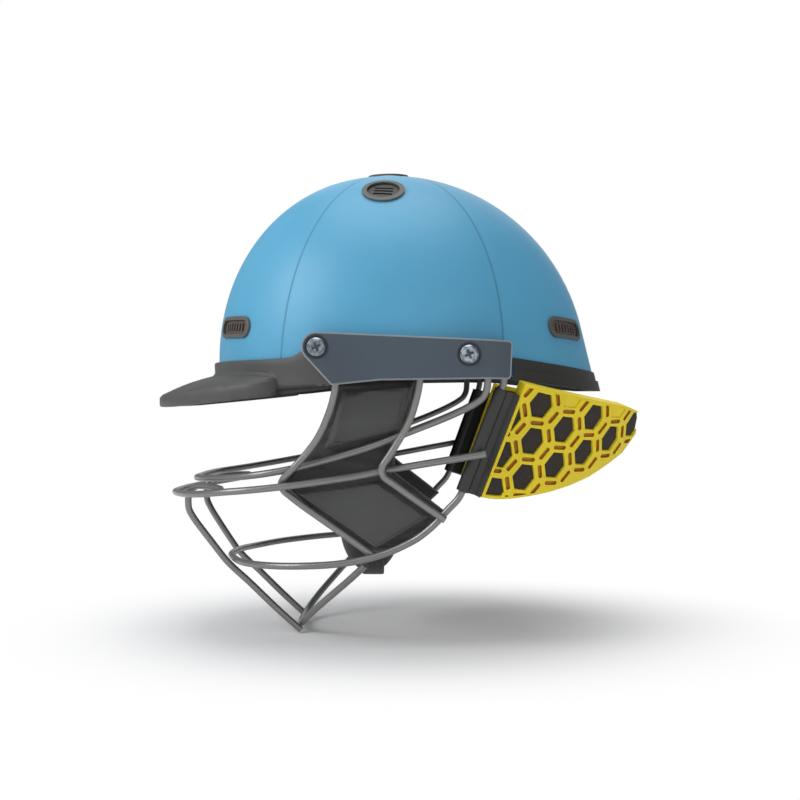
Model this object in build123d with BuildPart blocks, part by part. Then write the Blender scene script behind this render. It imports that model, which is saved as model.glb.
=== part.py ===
"""Batting helmet with a wire face guard, hinged neck guards and a chin strap.

The wearer looks along -Y, the wearer's left is +X and +Z is up. The origin is the
middle of the head opening, level with the brow. All sizes are in millimetres.
"""

import os
from math import acos, asin, atan2, cos, degrees, hypot, radians, sin, sqrt, tan

from build123d import *

os.makedirs("parts", exist_ok=True)

# Shell: two half ellipsoids on a short straight skirt
shell_half_width = 104.0
shell_front = 118.4
shell_rear = 134.8
shell_height = 136.2
shell_middle_y = -3.6
shell_middle_z = 0.0
shell_tilt = -13.8
shell_thickness = 3.5
skirt_depth = 70.0
seat_gap = 0.3
overrun = 60.0

# Rim of the shell in the side view
rim_front_z = -8.0
rim_ear_z = 2.0
rim_ear_front_y = -52.0
rim_ear_rear_y = 66.0
rim_ear_slope = 6.0
rim_nape_z = -4.5
rim_rear_z = -11.5
rim_rear_y = 131.0

# Foam liner and the five comfort pads on it
liner_thickness = 13.0
liner_rim_rise = 3.0
liner_crown_radius = 52.0
comfort_thickness = 6.0
comfort_low_z = 9.0
comfort_high_z = 42.0
comfort_half_width = 42.0
comfort_crown_radius = 38.0
comfort_front_y = -62.0
comfort_rear_y = 84.0
comfort_side_front_y = 2.0
comfort_side_rear_y = 58.0
comfort_corner = 8.0

# Peak: a band round the front of the shell and the bill in one moulding
band_proud = 3.3
band_end_y = -40.0
band_top_z = 6.6
band_top_rise_y = -70.0
band_shoulder_y = -58.0
band_shoulder_z = 12.6
band_shoulder_end_y = -55.2
band_under_plate_y = -52.5
band_under_plate_z = 7.5
band_low_z = -10.5
band_lip_proud = 1.8
band_lip_front_y = -100.0
band_lip_front_z = -15.0
bill_reach = 164.4
bill_slope = 19.4
bill_root_y = -127.0
bill_root_z = -2.6
bill_camber = 248.0
bill_shoulder_x = 70.0
bill_shoulder_radius = 900.0
bill_shoulder_turn = 3.7
bill_skin = 3.4
bill_edge_height = 8.0
bill_edge_width = 5.0
bill_side_x = 70.0
bill_side_y = -128.0
bill_heel_x = 100.0
bill_heel_y = -73.0

# Rim trim: the lip round the rear edge of the shell
trim_proud = 1.4
trim_lip_proud = 2.6
trim_front_y = 72.0
trim_top_front_z = 7.6
trim_top_rear_z = -0.4
trim_lip_height = 7.0
trim_under = 1.6

# Side plates
plate_face_x = 112.0
plate_thickness = 3.0
plate_front_y = -57.3
plate_length = 127.3
plate_low_z = -9.8
plate_height = 32.3
plate_bend_y = 50.0
plate_bend_radius = 46.0
plate_bend_angle = 30.0
plate_wall = 2.0
plate_bevel = 1.0
plate_nose_radius = 9.1
plate_tail_radius = 2.5

# Steel bracket behind each plate, with the wires welded to its inner face
bracket_thickness = 2.5
bracket_low_z = -5.2
bracket_height = 22.0
bracket_front_y = -53.0
bracket_rear_y = 66.5

# Plate screws, their spacers and their nuts
screw_front_y = -48.5
screw_front_z = 13.3
screw_rear_y = 43.3
screw_rear_z = 8.9
screw_diameter = 5.0
screw_head_diameter = 11.0
screw_head_height = 2.6
screw_socket_width = 3.2
screw_socket_depth = 1.6
screw_clearance = 0.3
screw_tip = 2.0
washer_diameter = 13.6
washer_recess = 0.6
spacer_diameter = 10.0
nut_diameter = 9.0
nut_flange_diameter = 13.0
nut_flange_thickness = 1.4
nut_height = 6.0

# Vents: ring or frame outside the shell, perforated mesh in the hole behind it
vent_proud = 1.5
mesh_sink = 0.2
mesh_thickness = 1.6
crown_vent_diameter = 28.0
crown_vent_rim = 3.2
slot_vent_length = 40.0
slot_vent_width = 14.0
slot_vent_rim = 2.4
vent_hole_lap = 1.2
mesh_gap = 0.3
mesh_slot = 2.0
mesh_bar = 1.8
vent_lean = 17.2
crown_vent_turn = 23.8
crown_vent_height = 63.8
crown_middle_turn = 90.0
crown_middle_height = 77.2
front_vent_turn = -61.4
front_vent_height = 26.3
rear_vent_turn = 66.4
rear_vent_height = -0.1

# Wires of the grille
wire_diameter = 4.5
weld_gap = 0.15
cage_half_width = 104.0
cage_reach = 155.0
cage_drop = 175.0
bend_share = 0.45
bar_foot_x = 86.8
bar_foot_y = 39.0
bar_foot_z = -79.8
bar_head_x = 99.0
bar_head_y = 65.4
bar_head_z = -8.3
bar_top_x = 100.6
bar_top_z = -0.5

# Cheek pads
cheek_thickness = 12.0
cheek_rise = 4.0

# Neck guards: clip on the rear bar, honeycomb moulding and foam in its cells
guard_radius = 187.0
guard_heading = 12.0
guard_thickness = 10.0
guard_start = 11.0
guard_span = 40.0
guard_rim = 3.0
guard_front_rim = 2.0
guard_front_y = 40.0
guard_length = 120.2
guard_low_z = -81.1
guard_height = 80.6
cell_pitch = 23.3
cell_width = 16.2
cell_lean = 5.0
cell_first_s = 27.2
cell_first_t = 72.5
foam_sink = 1.6
foam_gap = 0.2
clip_wall = 1.6
clip_gap = 0.25
clip_mouth = 3.4
clip_foot = 5.1
clip_head = 73.2
clip_flange_thickness = 3.0

# Chin strap, its cup, sliders and anchors
strap_width = 15.0
strap_thickness = 1.6
strap_x = 74.0
strap_pivot_y = -16.5
strap_pivot_z = 12.0
strap_tab = 8.0
strap_drop = 16.0
strap_bend_radius = 20.0
cup_middle_z = -105.0
cup_radius = 34.0
cup_half_length = 21.5
cup_forward = 2.0
cup_wall = 3.0
strap_cup_gap = 0.3
slider_height = 11.0
slider_width = 21.0
slider_depth = 5.0
slider_place = 46.0
slider_gap = 0.3
anchor_diameter = 6.0
anchor_head_diameter = 11.0
anchor_head_height = 2.0
anchor_flange_diameter = 16.0
anchor_gap = 0.3

weld_pitch = wire_diameter + weld_gap
liner_outer = shell_thickness + seat_gap
liner_inner = liner_outer + liner_thickness
comfort_outer = liner_inner + seat_gap
comfort_inner = comfort_outer + comfort_thickness

shell_plane = Plane(
    origin=(0, shell_middle_y, shell_middle_z),
    x_dir=(1, 0, 0),
    z_dir=(0, sin(radians(shell_tilt)), cos(radians(shell_tilt))),
)


def spread(shares, start, size):
    """Points in a plane from shares of the two sizes, counted from the start corner."""
    return [(start[0] + a * size[0], start[1] + b * size[1]) for a, b in shares]


def half_dome(reach, growth, keep):
    """The front or the rear half of the shell's solid, grown all over by growth."""
    rise = shell_height + growth
    skirt = -skirt_depth / rise
    with BuildPart() as half:
        with BuildSketch(Plane.XZ):
            with BuildLine():
                Polyline((0, 1), (0, skirt), (1, skirt), (1, 0))
                ThreePointArc((1, 0), (sqrt(1 / 2), sqrt(1 / 2)), (0, 1))
            make_face()
        revolve(axis=Axis.Z)
        split(bisect_by=Plane.XZ, keep=keep)
        scale(by=(shell_half_width + growth, reach + growth, rise))
    return half.part


domes = {}


def dome(growth):
    """The solid inside the shell's outer surface, grown all over by growth."""
    if growth not in domes:
        with BuildPart() as whole:
            add(half_dome(shell_front, growth, Keep.TOP))
            add(half_dome(shell_rear, growth, Keep.BOTTOM))
        domes[growth] = whole.part.moved(shell_plane.location)
    return domes[growth]


def wall_x(y, z, growth):
    """How far out the grown shell surface lies at a place in the side view."""
    flat = shell_plane.to_local_coords(Vector(0, y, z))
    reach = shell_front if flat.Y < 0 else shell_rear
    along = flat.Y / (reach + growth)
    above = max(flat.Z, 0) / (shell_height + growth)
    return (shell_half_width + growth) * sqrt(1 - along**2 - above**2)


def on_shell(turn, height):
    """The plane touching the shell where a ray from its middle meets the surface."""
    level = cos(radians(height))
    ray = Vector(cos(radians(turn)) * level, sin(radians(turn)) * level, sin(radians(height)))
    reach = shell_front if ray.Y < 0 else shell_rear
    sizes = (shell_half_width, reach, shell_height)
    steps = [part / size for part, size in zip(ray, sizes)]
    touch = ray * (1 / hypot(*steps))
    normal = Vector(*[part / size**2 for part, size in zip(touch, sizes)])
    lean = radians(vent_lean)
    level_line = Vector(0, sin(lean), cos(lean)).cross(normal)
    flat = Plane(origin=touch, x_dir=level_line, z_dir=normal)
    return Plane(shell_plane.location * flat.location)


def finish_node(piece, name):
    """Label a finished piece and write it out."""
    piece.label = name
    export_step(piece, f"parts/{name}.step")


def finish_pair(piece, name):
    """Write a piece made on the wearer's left, and its mirror image on the right."""
    finish_node(piece, f"{name}_left")
    finish_node(mirror(piece, about=Plane.YZ), f"{name}_right")


# Shell
far = shell_rear + overrun
high = shell_height + overrun
rim_line = [
    (-far, rim_front_z),
    (rim_ear_front_y - rim_ear_slope, rim_front_z),
    (rim_ear_front_y, rim_ear_z),
    (rim_ear_rear_y, rim_ear_z),
    (rim_ear_rear_y + rim_ear_slope, rim_nape_z),
    (rim_rear_y, rim_rear_z),
    (far, rim_rear_z),
]


def above_rim(rise):
    """Everything above the rim line, raised by rise."""
    with BuildPart() as block:
        with BuildSketch(Plane.YZ):
            Polygon(*[(y, z + rise) for y, z in rim_line], (far, high), (-far, high), align=None)
        extrude(amount=far, both=True)
    return block.part


screw_places = [(screw_front_y, screw_front_z), (screw_rear_y, screw_rear_z)]
crown_middle_plane = on_shell(crown_middle_turn, crown_middle_height)
crown_side_plane = on_shell(crown_vent_turn, crown_vent_height)
front_vent_plane = on_shell(front_vent_turn, front_vent_height)
rear_vent_plane = on_shell(rear_vent_turn, rear_vent_height)


def across(plane):
    """The same plane seen in the mirror, on the other side of the helmet."""
    origin = Vector(-plane.origin.X, plane.origin.Y, plane.origin.Z)
    normal = Vector(-plane.z_dir.X, plane.z_dir.Y, plane.z_dir.Z)
    level_line = Vector(plane.x_dir.X, -plane.x_dir.Y, -plane.x_dir.Z)
    return Plane(origin=origin, x_dir=level_line, z_dir=normal)


round_vents = {
    "crown_vent_middle": crown_middle_plane,
    "crown_vent_left": crown_side_plane,
    "crown_vent_right": across(crown_side_plane),
}
slot_vents = {
    "front_vent_left": front_vent_plane,
    "front_vent_right": across(front_vent_plane),
    "rear_vent_left": rear_vent_plane,
    "rear_vent_right": across(rear_vent_plane),
}
crown_hole = crown_vent_diameter / 2 - vent_hole_lap
slot_hole = slot_vent_width - 2 * vent_hole_lap
slot_hole_length = slot_vent_length - 2 * vent_hole_lap

with BuildPart() as shell:
    add(dome(0))
    add(dome(-shell_thickness), mode=Mode.SUBTRACT)
    add(above_rim(0), mode=Mode.INTERSECT)
    for plane in round_vents.values():
        with BuildSketch(plane):
            Circle(crown_hole)
        extrude(amount=crown_hole, both=True, mode=Mode.SUBTRACT)
    for plane in slot_vents.values():
        with BuildSketch(plane):
            SlotOverall(slot_hole_length, slot_hole)
        extrude(amount=slot_hole, both=True, mode=Mode.SUBTRACT)
    with BuildSketch(Plane.YZ):
        with Locations(*screw_places):
            Circle(screw_diameter / 2 + screw_clearance)
    extrude(amount=far, both=True, mode=Mode.SUBTRACT)
finish_node(shell.part, "shell")

# Foam liner, with pockets for the nuts and holes for the strap anchors
with BuildPart() as liner:
    add(dome(-liner_outer))
    add(dome(-liner_inner), mode=Mode.SUBTRACT)
    add(above_rim(liner_rim_rise), mode=Mode.INTERSECT)
    for y, z in screw_places:
        pocket_x = wall_x(y, z, -liner_outer) - nut_height - seat_gap
        with BuildSketch(Plane.YZ.offset(pocket_x)) as pocket:
            with Locations((y, z)):
                Circle(nut_flange_diameter / 2 + 2 * seat_gap)
        extrude(amount=overrun, mode=Mode.SUBTRACT)
        with BuildSketch(Plane.YZ.offset(-pocket_x)) as pocket:
            with Locations((y, z)):
                Circle(nut_flange_diameter / 2 + 2 * seat_gap)
        extrude(amount=-overrun, mode=Mode.SUBTRACT)
    with BuildSketch(Plane.YZ):
        with Locations((strap_pivot_y, strap_pivot_z)):
            Circle(anchor_diameter / 2 + anchor_gap)
    extrude(amount=far, both=True, mode=Mode.SUBTRACT)

# The liner is cut into five blocks: four round the sides and one at the crown
half_gap = seat_gap / 2
liner_wedges = {
    "liner_front": [(0, -half_gap), (-far, -far - half_gap), (far, -far - half_gap)],
    "liner_rear": [(0, half_gap), (far, far + half_gap), (-far, far + half_gap)],
    "liner_left": [(half_gap, 0), (far + half_gap, -far), (far + half_gap, far)],
    "liner_right": [(-half_gap, 0), (-far - half_gap, far), (-far - half_gap, -far)],
}
for name, corners in liner_wedges.items():
    with BuildPart() as block:
        add(liner.part)
        with BuildSketch(shell_plane):
            Polygon(*corners, align=None)
            Circle(liner_crown_radius + seat_gap, mode=Mode.SUBTRACT)
        extrude(amount=high, both=True, mode=Mode.INTERSECT)
    finish_node(block.part, name)
with BuildPart() as crown_block:
    add(liner.part)
    with BuildSketch(shell_plane):
        Circle(liner_crown_radius)
    extrude(amount=high, mode=Mode.INTERSECT)
finish_node(crown_block.part, "liner_crown")

# Comfort pads on the inside of the liner
pad_height = comfort_high_z - comfort_low_z
pad_middle_z = (comfort_high_z + comfort_low_z) / 2
pad_layer_outer = dome(-comfort_outer)
pad_layer_inner = dome(-comfort_inner)
for name, end_y in (("brow_pad", comfort_front_y), ("nape_pad", comfort_rear_y)):
    reach = -overrun if end_y < 0 else overrun
    with BuildPart() as pad:
        add(pad_layer_outer)
        add(pad_layer_inner, mode=Mode.SUBTRACT)
        with BuildSketch(Plane.XZ.offset(-end_y)):
            with Locations((0, pad_middle_z)):
                RectangleRounded(2 * comfort_half_width, pad_height, comfort_corner)
        extrude(amount=-reach, mode=Mode.INTERSECT)
    finish_node(pad.part, name)
side_length = comfort_side_rear_y - comfort_side_front_y
side_middle = (comfort_side_rear_y + comfort_side_front_y) / 2
with BuildPart() as temple_pad:
    add(pad_layer_outer)
    add(pad_layer_inner, mode=Mode.SUBTRACT)
    with BuildSketch(Plane.YZ):
        with Locations((side_middle, pad_middle_z)):
            RectangleRounded(side_length, pad_height, comfort_corner)
    extrude(amount=far, mode=Mode.INTERSECT)
finish_pair(temple_pad.part, "temple_pad")
with BuildPart() as crown_pad:
    add(pad_layer_outer)
    add(pad_layer_inner, mode=Mode.SUBTRACT)
    with BuildSketch(shell_plane):
        Circle(comfort_crown_radius)
    extrude(amount=high, mode=Mode.INTERSECT)
finish_node(crown_pad.part, "crown_pad")

# Peak: band and bill
bill_drop = radians(bill_slope)
bill_plane = Plane(
    origin=(0, bill_root_y, bill_root_z),
    x_dir=(1, 0, 0),
    z_dir=(0, -cos(bill_drop), -sin(bill_drop)),
)


def bill_slab(top, bottom):
    """A long cambered slab between two depths under the bill's top surface."""
    middle = (top + bottom) / 2
    crown_turn = degrees(asin(bill_shoulder_x / bill_camber))
    with BuildPart() as slab:
        with BuildSketch(bill_plane):
            with BuildLine() as run:
                crown = CenterArc(
                    (0, -bill_camber), bill_camber - middle, 90 - crown_turn, 2 * crown_turn
                )
                JernArc(crown @ 1, crown % 1, bill_shoulder_radius - middle, bill_shoulder_turn)
                JernArc(
                    crown @ 0, -(crown % 0), bill_shoulder_radius - middle, -bill_shoulder_turn
                )
            trace(run.edges(), line_width=bottom - top)
        extrude(amount=far, both=True)
    return slab.part


def bill_plan(inset):
    """The bill's outline from above as a tall block, drawn in by inset."""
    with BuildPart() as block:
        with BuildSketch(Plane.XY.offset(-overrun)) as plan:
            with BuildLine():
                tip = ThreePointArc(
                    (-bill_side_x, bill_side_y), (0, -bill_reach), (bill_side_x, bill_side_y)
                )
                TangentArc((bill_side_x, bill_side_y), (bill_heel_x, bill_heel_y), tangent=tip % 1)
                TangentArc(
                    (-bill_side_x, bill_side_y), (-bill_heel_x, bill_heel_y), tangent=-(tip % 0)
                )
                Line((bill_heel_x, bill_heel_y), (-bill_heel_x, bill_heel_y))
            make_face()
            if inset:
                offset(amount=-inset, mode=Mode.REPLACE)
        extrude(amount=2 * overrun)
    return block.part


with BuildPart() as bill:
    add(bill_plan(0))
    add(bill_slab(0, bill_edge_height), mode=Mode.INTERSECT)
with BuildPart() as bill_pocket:
    add(bill_plan(bill_edge_width))
    add(bill_slab(bill_skin, bill_edge_height + overrun), mode=Mode.INTERSECT)
with BuildPart() as band_lip:
    add(dome(band_lip_proud))
    with BuildSketch(Plane.YZ):
        Polygon(
            (band_end_y, band_low_z + seat_gap),
            (band_lip_front_y, band_low_z + seat_gap),
            (band_lip_front_y, band_lip_front_z),
            (band_end_y, band_low_z - seat_gap),
            align=None,
        )
    extrude(amount=far, both=True, mode=Mode.INTERSECT)
with BuildPart() as peak:
    add(dome(band_proud))
    with BuildSketch(Plane.YZ):
        Polygon(
            (-far, band_low_z),
            (band_end_y, band_low_z),
            (band_end_y, band_under_plate_z),
            (band_under_plate_y, band_under_plate_z),
            (band_shoulder_end_y, band_shoulder_z),
            (band_shoulder_y, band_shoulder_z),
            (band_top_rise_y, band_top_z),
            (-far, band_top_z),
            align=None,
        )
    extrude(amount=far, both=True, mode=Mode.INTERSECT)
    add(band_lip.part)
    add(bill.part)
    add(bill_pocket.part, mode=Mode.SUBTRACT)
    add(dome(seat_gap), mode=Mode.SUBTRACT)
finish_node(peak.part, "peak")

# Rim trim round the rear of the shell
trim_drop = (trim_top_front_z - trim_top_rear_z) / (shell_rear - trim_front_y)
trim_end_z = trim_top_front_z - trim_drop * (far - trim_front_y)
rim_fall = (rim_nape_z - rim_rear_z) / (rim_rear_y - rim_ear_rear_y - rim_ear_slope)


def rim_z(y):
    """Height of the shell's rear rim."""
    return rim_nape_z - rim_fall * (min(y, rim_rear_y) - rim_ear_rear_y - rim_ear_slope)


with BuildPart() as trim_lip:
    add(dome(trim_lip_proud))
    with BuildSketch(Plane.YZ):
        Polygon(
            (trim_front_y, rim_z(trim_front_y) - trim_under + trim_lip_height),
            (trim_front_y, rim_z(trim_front_y) - trim_under),
            (rim_rear_y, rim_rear_z - trim_under),
            (far, rim_rear_z - trim_under),
            (far, rim_rear_z - trim_under + trim_lip_height),
            (rim_rear_y, rim_rear_z - trim_under + trim_lip_height),
            align=None,
        )
    extrude(amount=far, both=True, mode=Mode.INTERSECT)
with BuildPart() as trim_seat:
    add(dome(seat_gap))
    add(above_rim(-seat_gap), mode=Mode.INTERSECT)
with BuildPart() as rim_trim:
    add(dome(trim_proud))
    with BuildSketch(Plane.YZ):
        Polygon(
            (trim_front_y, trim_top_front_z),
            (trim_front_y, rim_z(trim_front_y) - trim_under),
            (rim_rear_y, rim_rear_z - trim_under),
            (far, rim_rear_z - trim_under),
            (far, trim_end_z),
            align=None,
        )
    extrude(amount=far, both=True, mode=Mode.INTERSECT)
    add(trim_lip.part)
    add(trim_seat.part, mode=Mode.SUBTRACT)
    add(dome(-shell_thickness), mode=Mode.SUBTRACT)
finish_node(rim_trim.part, "rim_trim")

# Side plates: a skin, bent inward at the tail, with a wall along its top and ends
plate_corner = (plate_front_y, plate_low_z)
plate_size = (plate_length, plate_height)
plate_outline_shares = [
    (-0.1015, 1.027),
    (0.867, 0.861),
    (1.0, 0.83),
    (0.992, 0.112),
    (0.875, 0.121),
    (0.37, 0.093),
    (0.14, 0.0),
]


def plate_outline(inset):
    """The plate's outline in the side view, drawn in by inset."""
    with BuildSketch(Plane.YZ) as outline:
        Polygon(*spread(plate_outline_shares, plate_corner, plate_size), align=None)
        fillet(outline.vertices().sort_by(Axis.X)[0], radius=plate_nose_radius)
        fillet(outline.vertices().sort_by(Axis.Y)[0], radius=plate_tail_radius)
        fillet(outline.vertices().sort_by(Axis.X)[-2:], radius=plate_tail_radius)
        if inset:
            offset(amount=-inset, mode=Mode.REPLACE)
    return outline.sketch


def plate_layer(depth, thickness, low, height):
    """An upright layer that follows the plate's bend, depth behind its outer face."""
    middle = depth + thickness / 2
    with BuildPart() as layer:
        with BuildSketch(Plane.XY.offset(low)):
            with BuildLine() as run:
                front = (plate_face_x - middle, plate_front_y - overrun)
                bend = (plate_face_x - middle, plate_bend_y)
                Line(front, bend)
                JernArc(bend, (0, 1), plate_bend_radius - middle, plate_bend_angle)
            trace(run.edges(), line_width=thickness)
        extrude(amount=height)
    return layer.part


def screw_cylinders(diameter, start_x, length):
    """Cylinders on both screws' axes, from start_x outward."""
    with BuildPart() as rods:
        with BuildSketch(Plane.YZ.offset(start_x)):
            with Locations(*screw_places):
                Circle(diameter / 2)
        extrude(amount=length)
    return rods.part


screw_hole = screw_diameter + 2 * screw_clearance
plate_back = plate_thickness + seat_gap
wall_opening = bar_head_y + wire_diameter / 2 - bracket_front_y + 2 * seat_gap
bracket_back = plate_back + bracket_thickness
with BuildPart() as band_room:
    add(dome(band_proud + seat_gap))
    with BuildSketch(Plane.YZ):
        Rectangle(far, far, align=(Align.MAX, Align.CENTER))
    extrude(amount=far, mode=Mode.INTERSECT)
    split(bisect_by=Plane.XZ.offset(-band_end_y - seat_gap), keep=Keep.TOP)
with BuildPart() as side_wall:
    extrude(plate_outline(0), amount=plate_face_x - plate_back / 2)
    extrude(plate_outline(plate_wall), amount=far, mode=Mode.SUBTRACT)
    with BuildSketch(Plane.YZ):
        with Locations((bracket_front_y - seat_gap, screw_rear_z)):
            Rectangle(wall_opening, overrun, align=(Align.MIN, Align.MAX))
    extrude(amount=far, mode=Mode.SUBTRACT)
    add(screw_cylinders(spacer_diameter + 2 * seat_gap, 0, far), mode=Mode.SUBTRACT)
    add(dome(seat_gap), mode=Mode.SUBTRACT)
    add(band_room.part, mode=Mode.SUBTRACT)
    add(plate_layer(-overrun, overrun + plate_thickness / 2, -far, 2 * far), mode=Mode.SUBTRACT)
with BuildPart() as plate_rim:
    add(plate_layer(plate_bevel, plate_thickness - plate_bevel, -far, 2 * far))
    extrude(plate_outline(0), amount=far, mode=Mode.INTERSECT)
with BuildPart() as side_plate:
    add(plate_layer(0, plate_thickness, -far, 2 * far))
    extrude(plate_outline(plate_bevel), amount=far, mode=Mode.INTERSECT)
    add(plate_rim.part)
    add(side_wall.part)
    add(screw_cylinders(screw_hole, 0, far), mode=Mode.SUBTRACT)
    add(screw_cylinders(washer_diameter, plate_face_x - washer_recess, far), mode=Mode.SUBTRACT)
finish_pair(side_plate.part, "side_plate")

# Steel bracket behind the plate
with BuildPart() as bracket:
    add(plate_layer(plate_back, bracket_thickness, bracket_low_z, bracket_height))
    with BuildSketch(Plane.YZ):
        with BuildLine():
            Polyline(
                (bracket_front_y, bracket_low_z),
                (bracket_rear_y, bracket_low_z),
                (bracket_rear_y, screw_rear_z + spacer_diameter / 2),
                (bracket_front_y, bracket_low_z + bracket_height),
                close=True,
            )
        make_face()
    extrude(amount=far, mode=Mode.INTERSECT)
    extrude(plate_outline(plate_wall + seat_gap), amount=far, mode=Mode.INTERSECT)
    add(screw_cylinders(screw_hole, 0, far), mode=Mode.SUBTRACT)
finish_pair(bracket.part, "grille_bracket")

# Spacers between the bracket and the shell
spacer_end = plate_face_x - bracket_back - seat_gap
with BuildPart() as spacers:
    add(screw_cylinders(spacer_diameter, 0, spacer_end))
    add(screw_cylinders(screw_hole, 0, spacer_end), mode=Mode.SUBTRACT)
    add(dome(seat_gap), mode=Mode.SUBTRACT)
    mirror(about=Plane.YZ)
finish_node(spacers.part, "plate_spacers")

# Screws with a socket in the head, and the nuts inside the shell
head_seat_x = plate_face_x - washer_recess + seat_gap / 2
with BuildPart() as screws:
    for y, z in screw_places:
        tip_x = wall_x(y, z, -liner_outer) - nut_height + screw_tip
        with BuildSketch(Plane.YZ.offset(tip_x)):
            with Locations((y, z)):
                Circle(screw_diameter / 2)
        extrude(amount=head_seat_x - tip_x)
    add(screw_cylinders(screw_head_diameter, head_seat_x, screw_head_height))
    heads = screws.faces().sort_by(Axis.X)[-2:]
    chamfer(heads.edges(), length=screw_head_height / 3)
    with BuildSketch(Plane.YZ.offset(head_seat_x + screw_head_height)):
        with Locations(*screw_places):
            RegularPolygon(screw_socket_width, 6)
    extrude(amount=-screw_socket_depth, mode=Mode.SUBTRACT)
    mirror(about=Plane.YZ)
finish_node(screws.part, "plate_screws")
with BuildPart() as nuts:
    for y, z in screw_places:
        nut_x = wall_x(y, z, -liner_outer) - nut_height
        with BuildSketch(Plane.YZ.offset(nut_x)):
            with Locations((y, z)):
                Circle(nut_diameter / 2)
        extrude(amount=overrun)
        with BuildSketch(Plane.YZ.offset(nut_x + nut_height - 2 * nut_flange_thickness)):
            with Locations((y, z)):
                Circle(nut_flange_diameter / 2)
        extrude(amount=overrun)
    add(screw_cylinders(screw_diameter + seat_gap, 0, far), mode=Mode.SUBTRACT)
    add(dome(-shell_thickness - seat_gap), mode=Mode.INTERSECT)
    mirror(about=Plane.YZ)
finish_node(nuts.part, "shell_nuts")

# Vents
with BuildPart() as vent_layer:
    add(dome(vent_proud))
    add(dome(seat_gap), mode=Mode.SUBTRACT)
with BuildPart() as mesh_layer:
    add(dome(-mesh_sink))
    add(dome(-mesh_sink - mesh_thickness), mode=Mode.SUBTRACT)
mesh_pitch = mesh_slot + mesh_bar
for name, plane in round_vents.items():
    with BuildPart() as ring:
        add(vent_layer.part)
        with BuildSketch(plane):
            Circle(crown_vent_diameter / 2)
            Circle(crown_vent_diameter / 2 - crown_vent_rim, mode=Mode.SUBTRACT)
        extrude(amount=crown_vent_diameter / 2, both=True, mode=Mode.INTERSECT)
    finish_node(ring.part, name)
for name, plane in slot_vents.items():
    with BuildPart() as frame:
        add(vent_layer.part)
        with BuildSketch(plane):
            SlotOverall(slot_vent_length, slot_vent_width)
            SlotOverall(
                slot_vent_length - 2 * slot_vent_rim,
                slot_vent_width - 2 * slot_vent_rim,
                mode=Mode.SUBTRACT,
            )
        extrude(amount=slot_vent_width, both=True, mode=Mode.INTERSECT)
    finish_node(frame.part, name)
round_rows = int((crown_hole - crown_vent_rim) / mesh_pitch)
slot_columns = int((slot_hole_length - slot_hole) / mesh_pitch / 2)
with BuildPart() as crown_meshes:
    for plane in round_vents.values():
        with BuildSketch(plane):
            Circle(crown_hole - mesh_gap)
            with GridLocations(0, mesh_pitch, 1, 2 * round_rows - 1):
                SlotOverall(crown_hole, mesh_slot, mode=Mode.SUBTRACT)
        extrude(amount=crown_hole, both=True, mode=Mode.ADD)
    add(mesh_layer.part, mode=Mode.INTERSECT)
finish_node(crown_meshes.part, "crown_vent_meshes")
with BuildPart() as slot_meshes:
    for plane in slot_vents.values():
        with BuildSketch(plane):
            SlotOverall(slot_hole_length - 2 * mesh_gap, slot_hole - 2 * mesh_gap)
            with GridLocations(mesh_pitch, 0, 2 * slot_columns + 1, 1):
                SlotOverall(slot_hole / 2, mesh_slot, rotation=90, mode=Mode.SUBTRACT)
        extrude(amount=slot_hole, both=True, mode=Mode.ADD)
    add(mesh_layer.part, mode=Mode.INTERSECT)
finish_node(slot_meshes.part, "side_vent_meshes")

# Grille wires. Each row gives shares of the cage's half width, of its reach in front or
# of the rear bar's place behind, and of its drop, and then how many wires further out
# the wire lies than the neighbour that it is welded to.
visor_upper_shares = [
    (0.000, -0.904, -0.418, 0),
    (0.192, -0.876, -0.411, 0),
    (0.346, -0.840, -0.407, 0),
    (0.519, -0.744, -0.399, 0),
    (0.663, -0.646, -0.388, 0),
    (0.745, -0.557, -0.376, 0),
    (0.770, -0.466, -0.362, 0),
    (0.781, -0.380, -0.345, 0),
    (0.808, -0.230, -0.309, 0),
    (0.841, -0.068, -0.263, 0),
    (0.865, 0.123, -0.219, 0),
    (0.894, 0.405, -0.178, 0),
    (0.913, 0.593, -0.147, 0),
    (0.933, 0.723, -0.121, 0),
    (0.947, 0.803, -0.100, 0),
    (0.966, 0.839, -0.072, 0),
    (0.984, 0.846, -0.035, 0),
    (0.993, 0.846, -0.003, 0),
]
visor_lower_shares = [
    (0.000, -1.001, -0.474, 0),
    (0.192, -0.973, -0.468, 0),
    (0.365, -0.928, -0.464, 0),
    (0.500, -0.873, -0.460, 0),
    (0.625, -0.795, -0.452, 0),
    (0.721, -0.714, -0.441, 0),
    (0.783, -0.616, -0.432, 0),
    (0.813, -0.472, -0.418, 0),
    (0.824, -0.310, -0.399, 0),
    (0.827, -0.149, -0.377, 0),
    (0.837, -0.062, -0.360, 0),
    (0.860, 0.123, -0.342, 0),
    (0.898, 0.405, -0.323, 0),
    (0.939, 0.685, -0.305, 0),
    (0.958, 0.834, -0.295, 0),
]
chin_loop_shares = [
    (0.000, -0.750, -0.724, 0),
    (0.173, -0.728, -0.719, 0),
    (0.394, -0.672, -0.723, 0),
    (0.572, -0.572, -0.718, 0),
    (0.663, -0.482, -0.714, 0),
    (0.718, -0.396, -0.709, 0),
    (0.755, -0.272, -0.702, 0),
    (0.779, -0.150, -0.685, 0),
    (0.798, -0.028, -0.653, 0),
    (0.812, 0.201, -0.602, 0),
    (0.822, 0.372, -0.547, 0),
    (0.832, 0.476, -0.500, 0),
]
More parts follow.
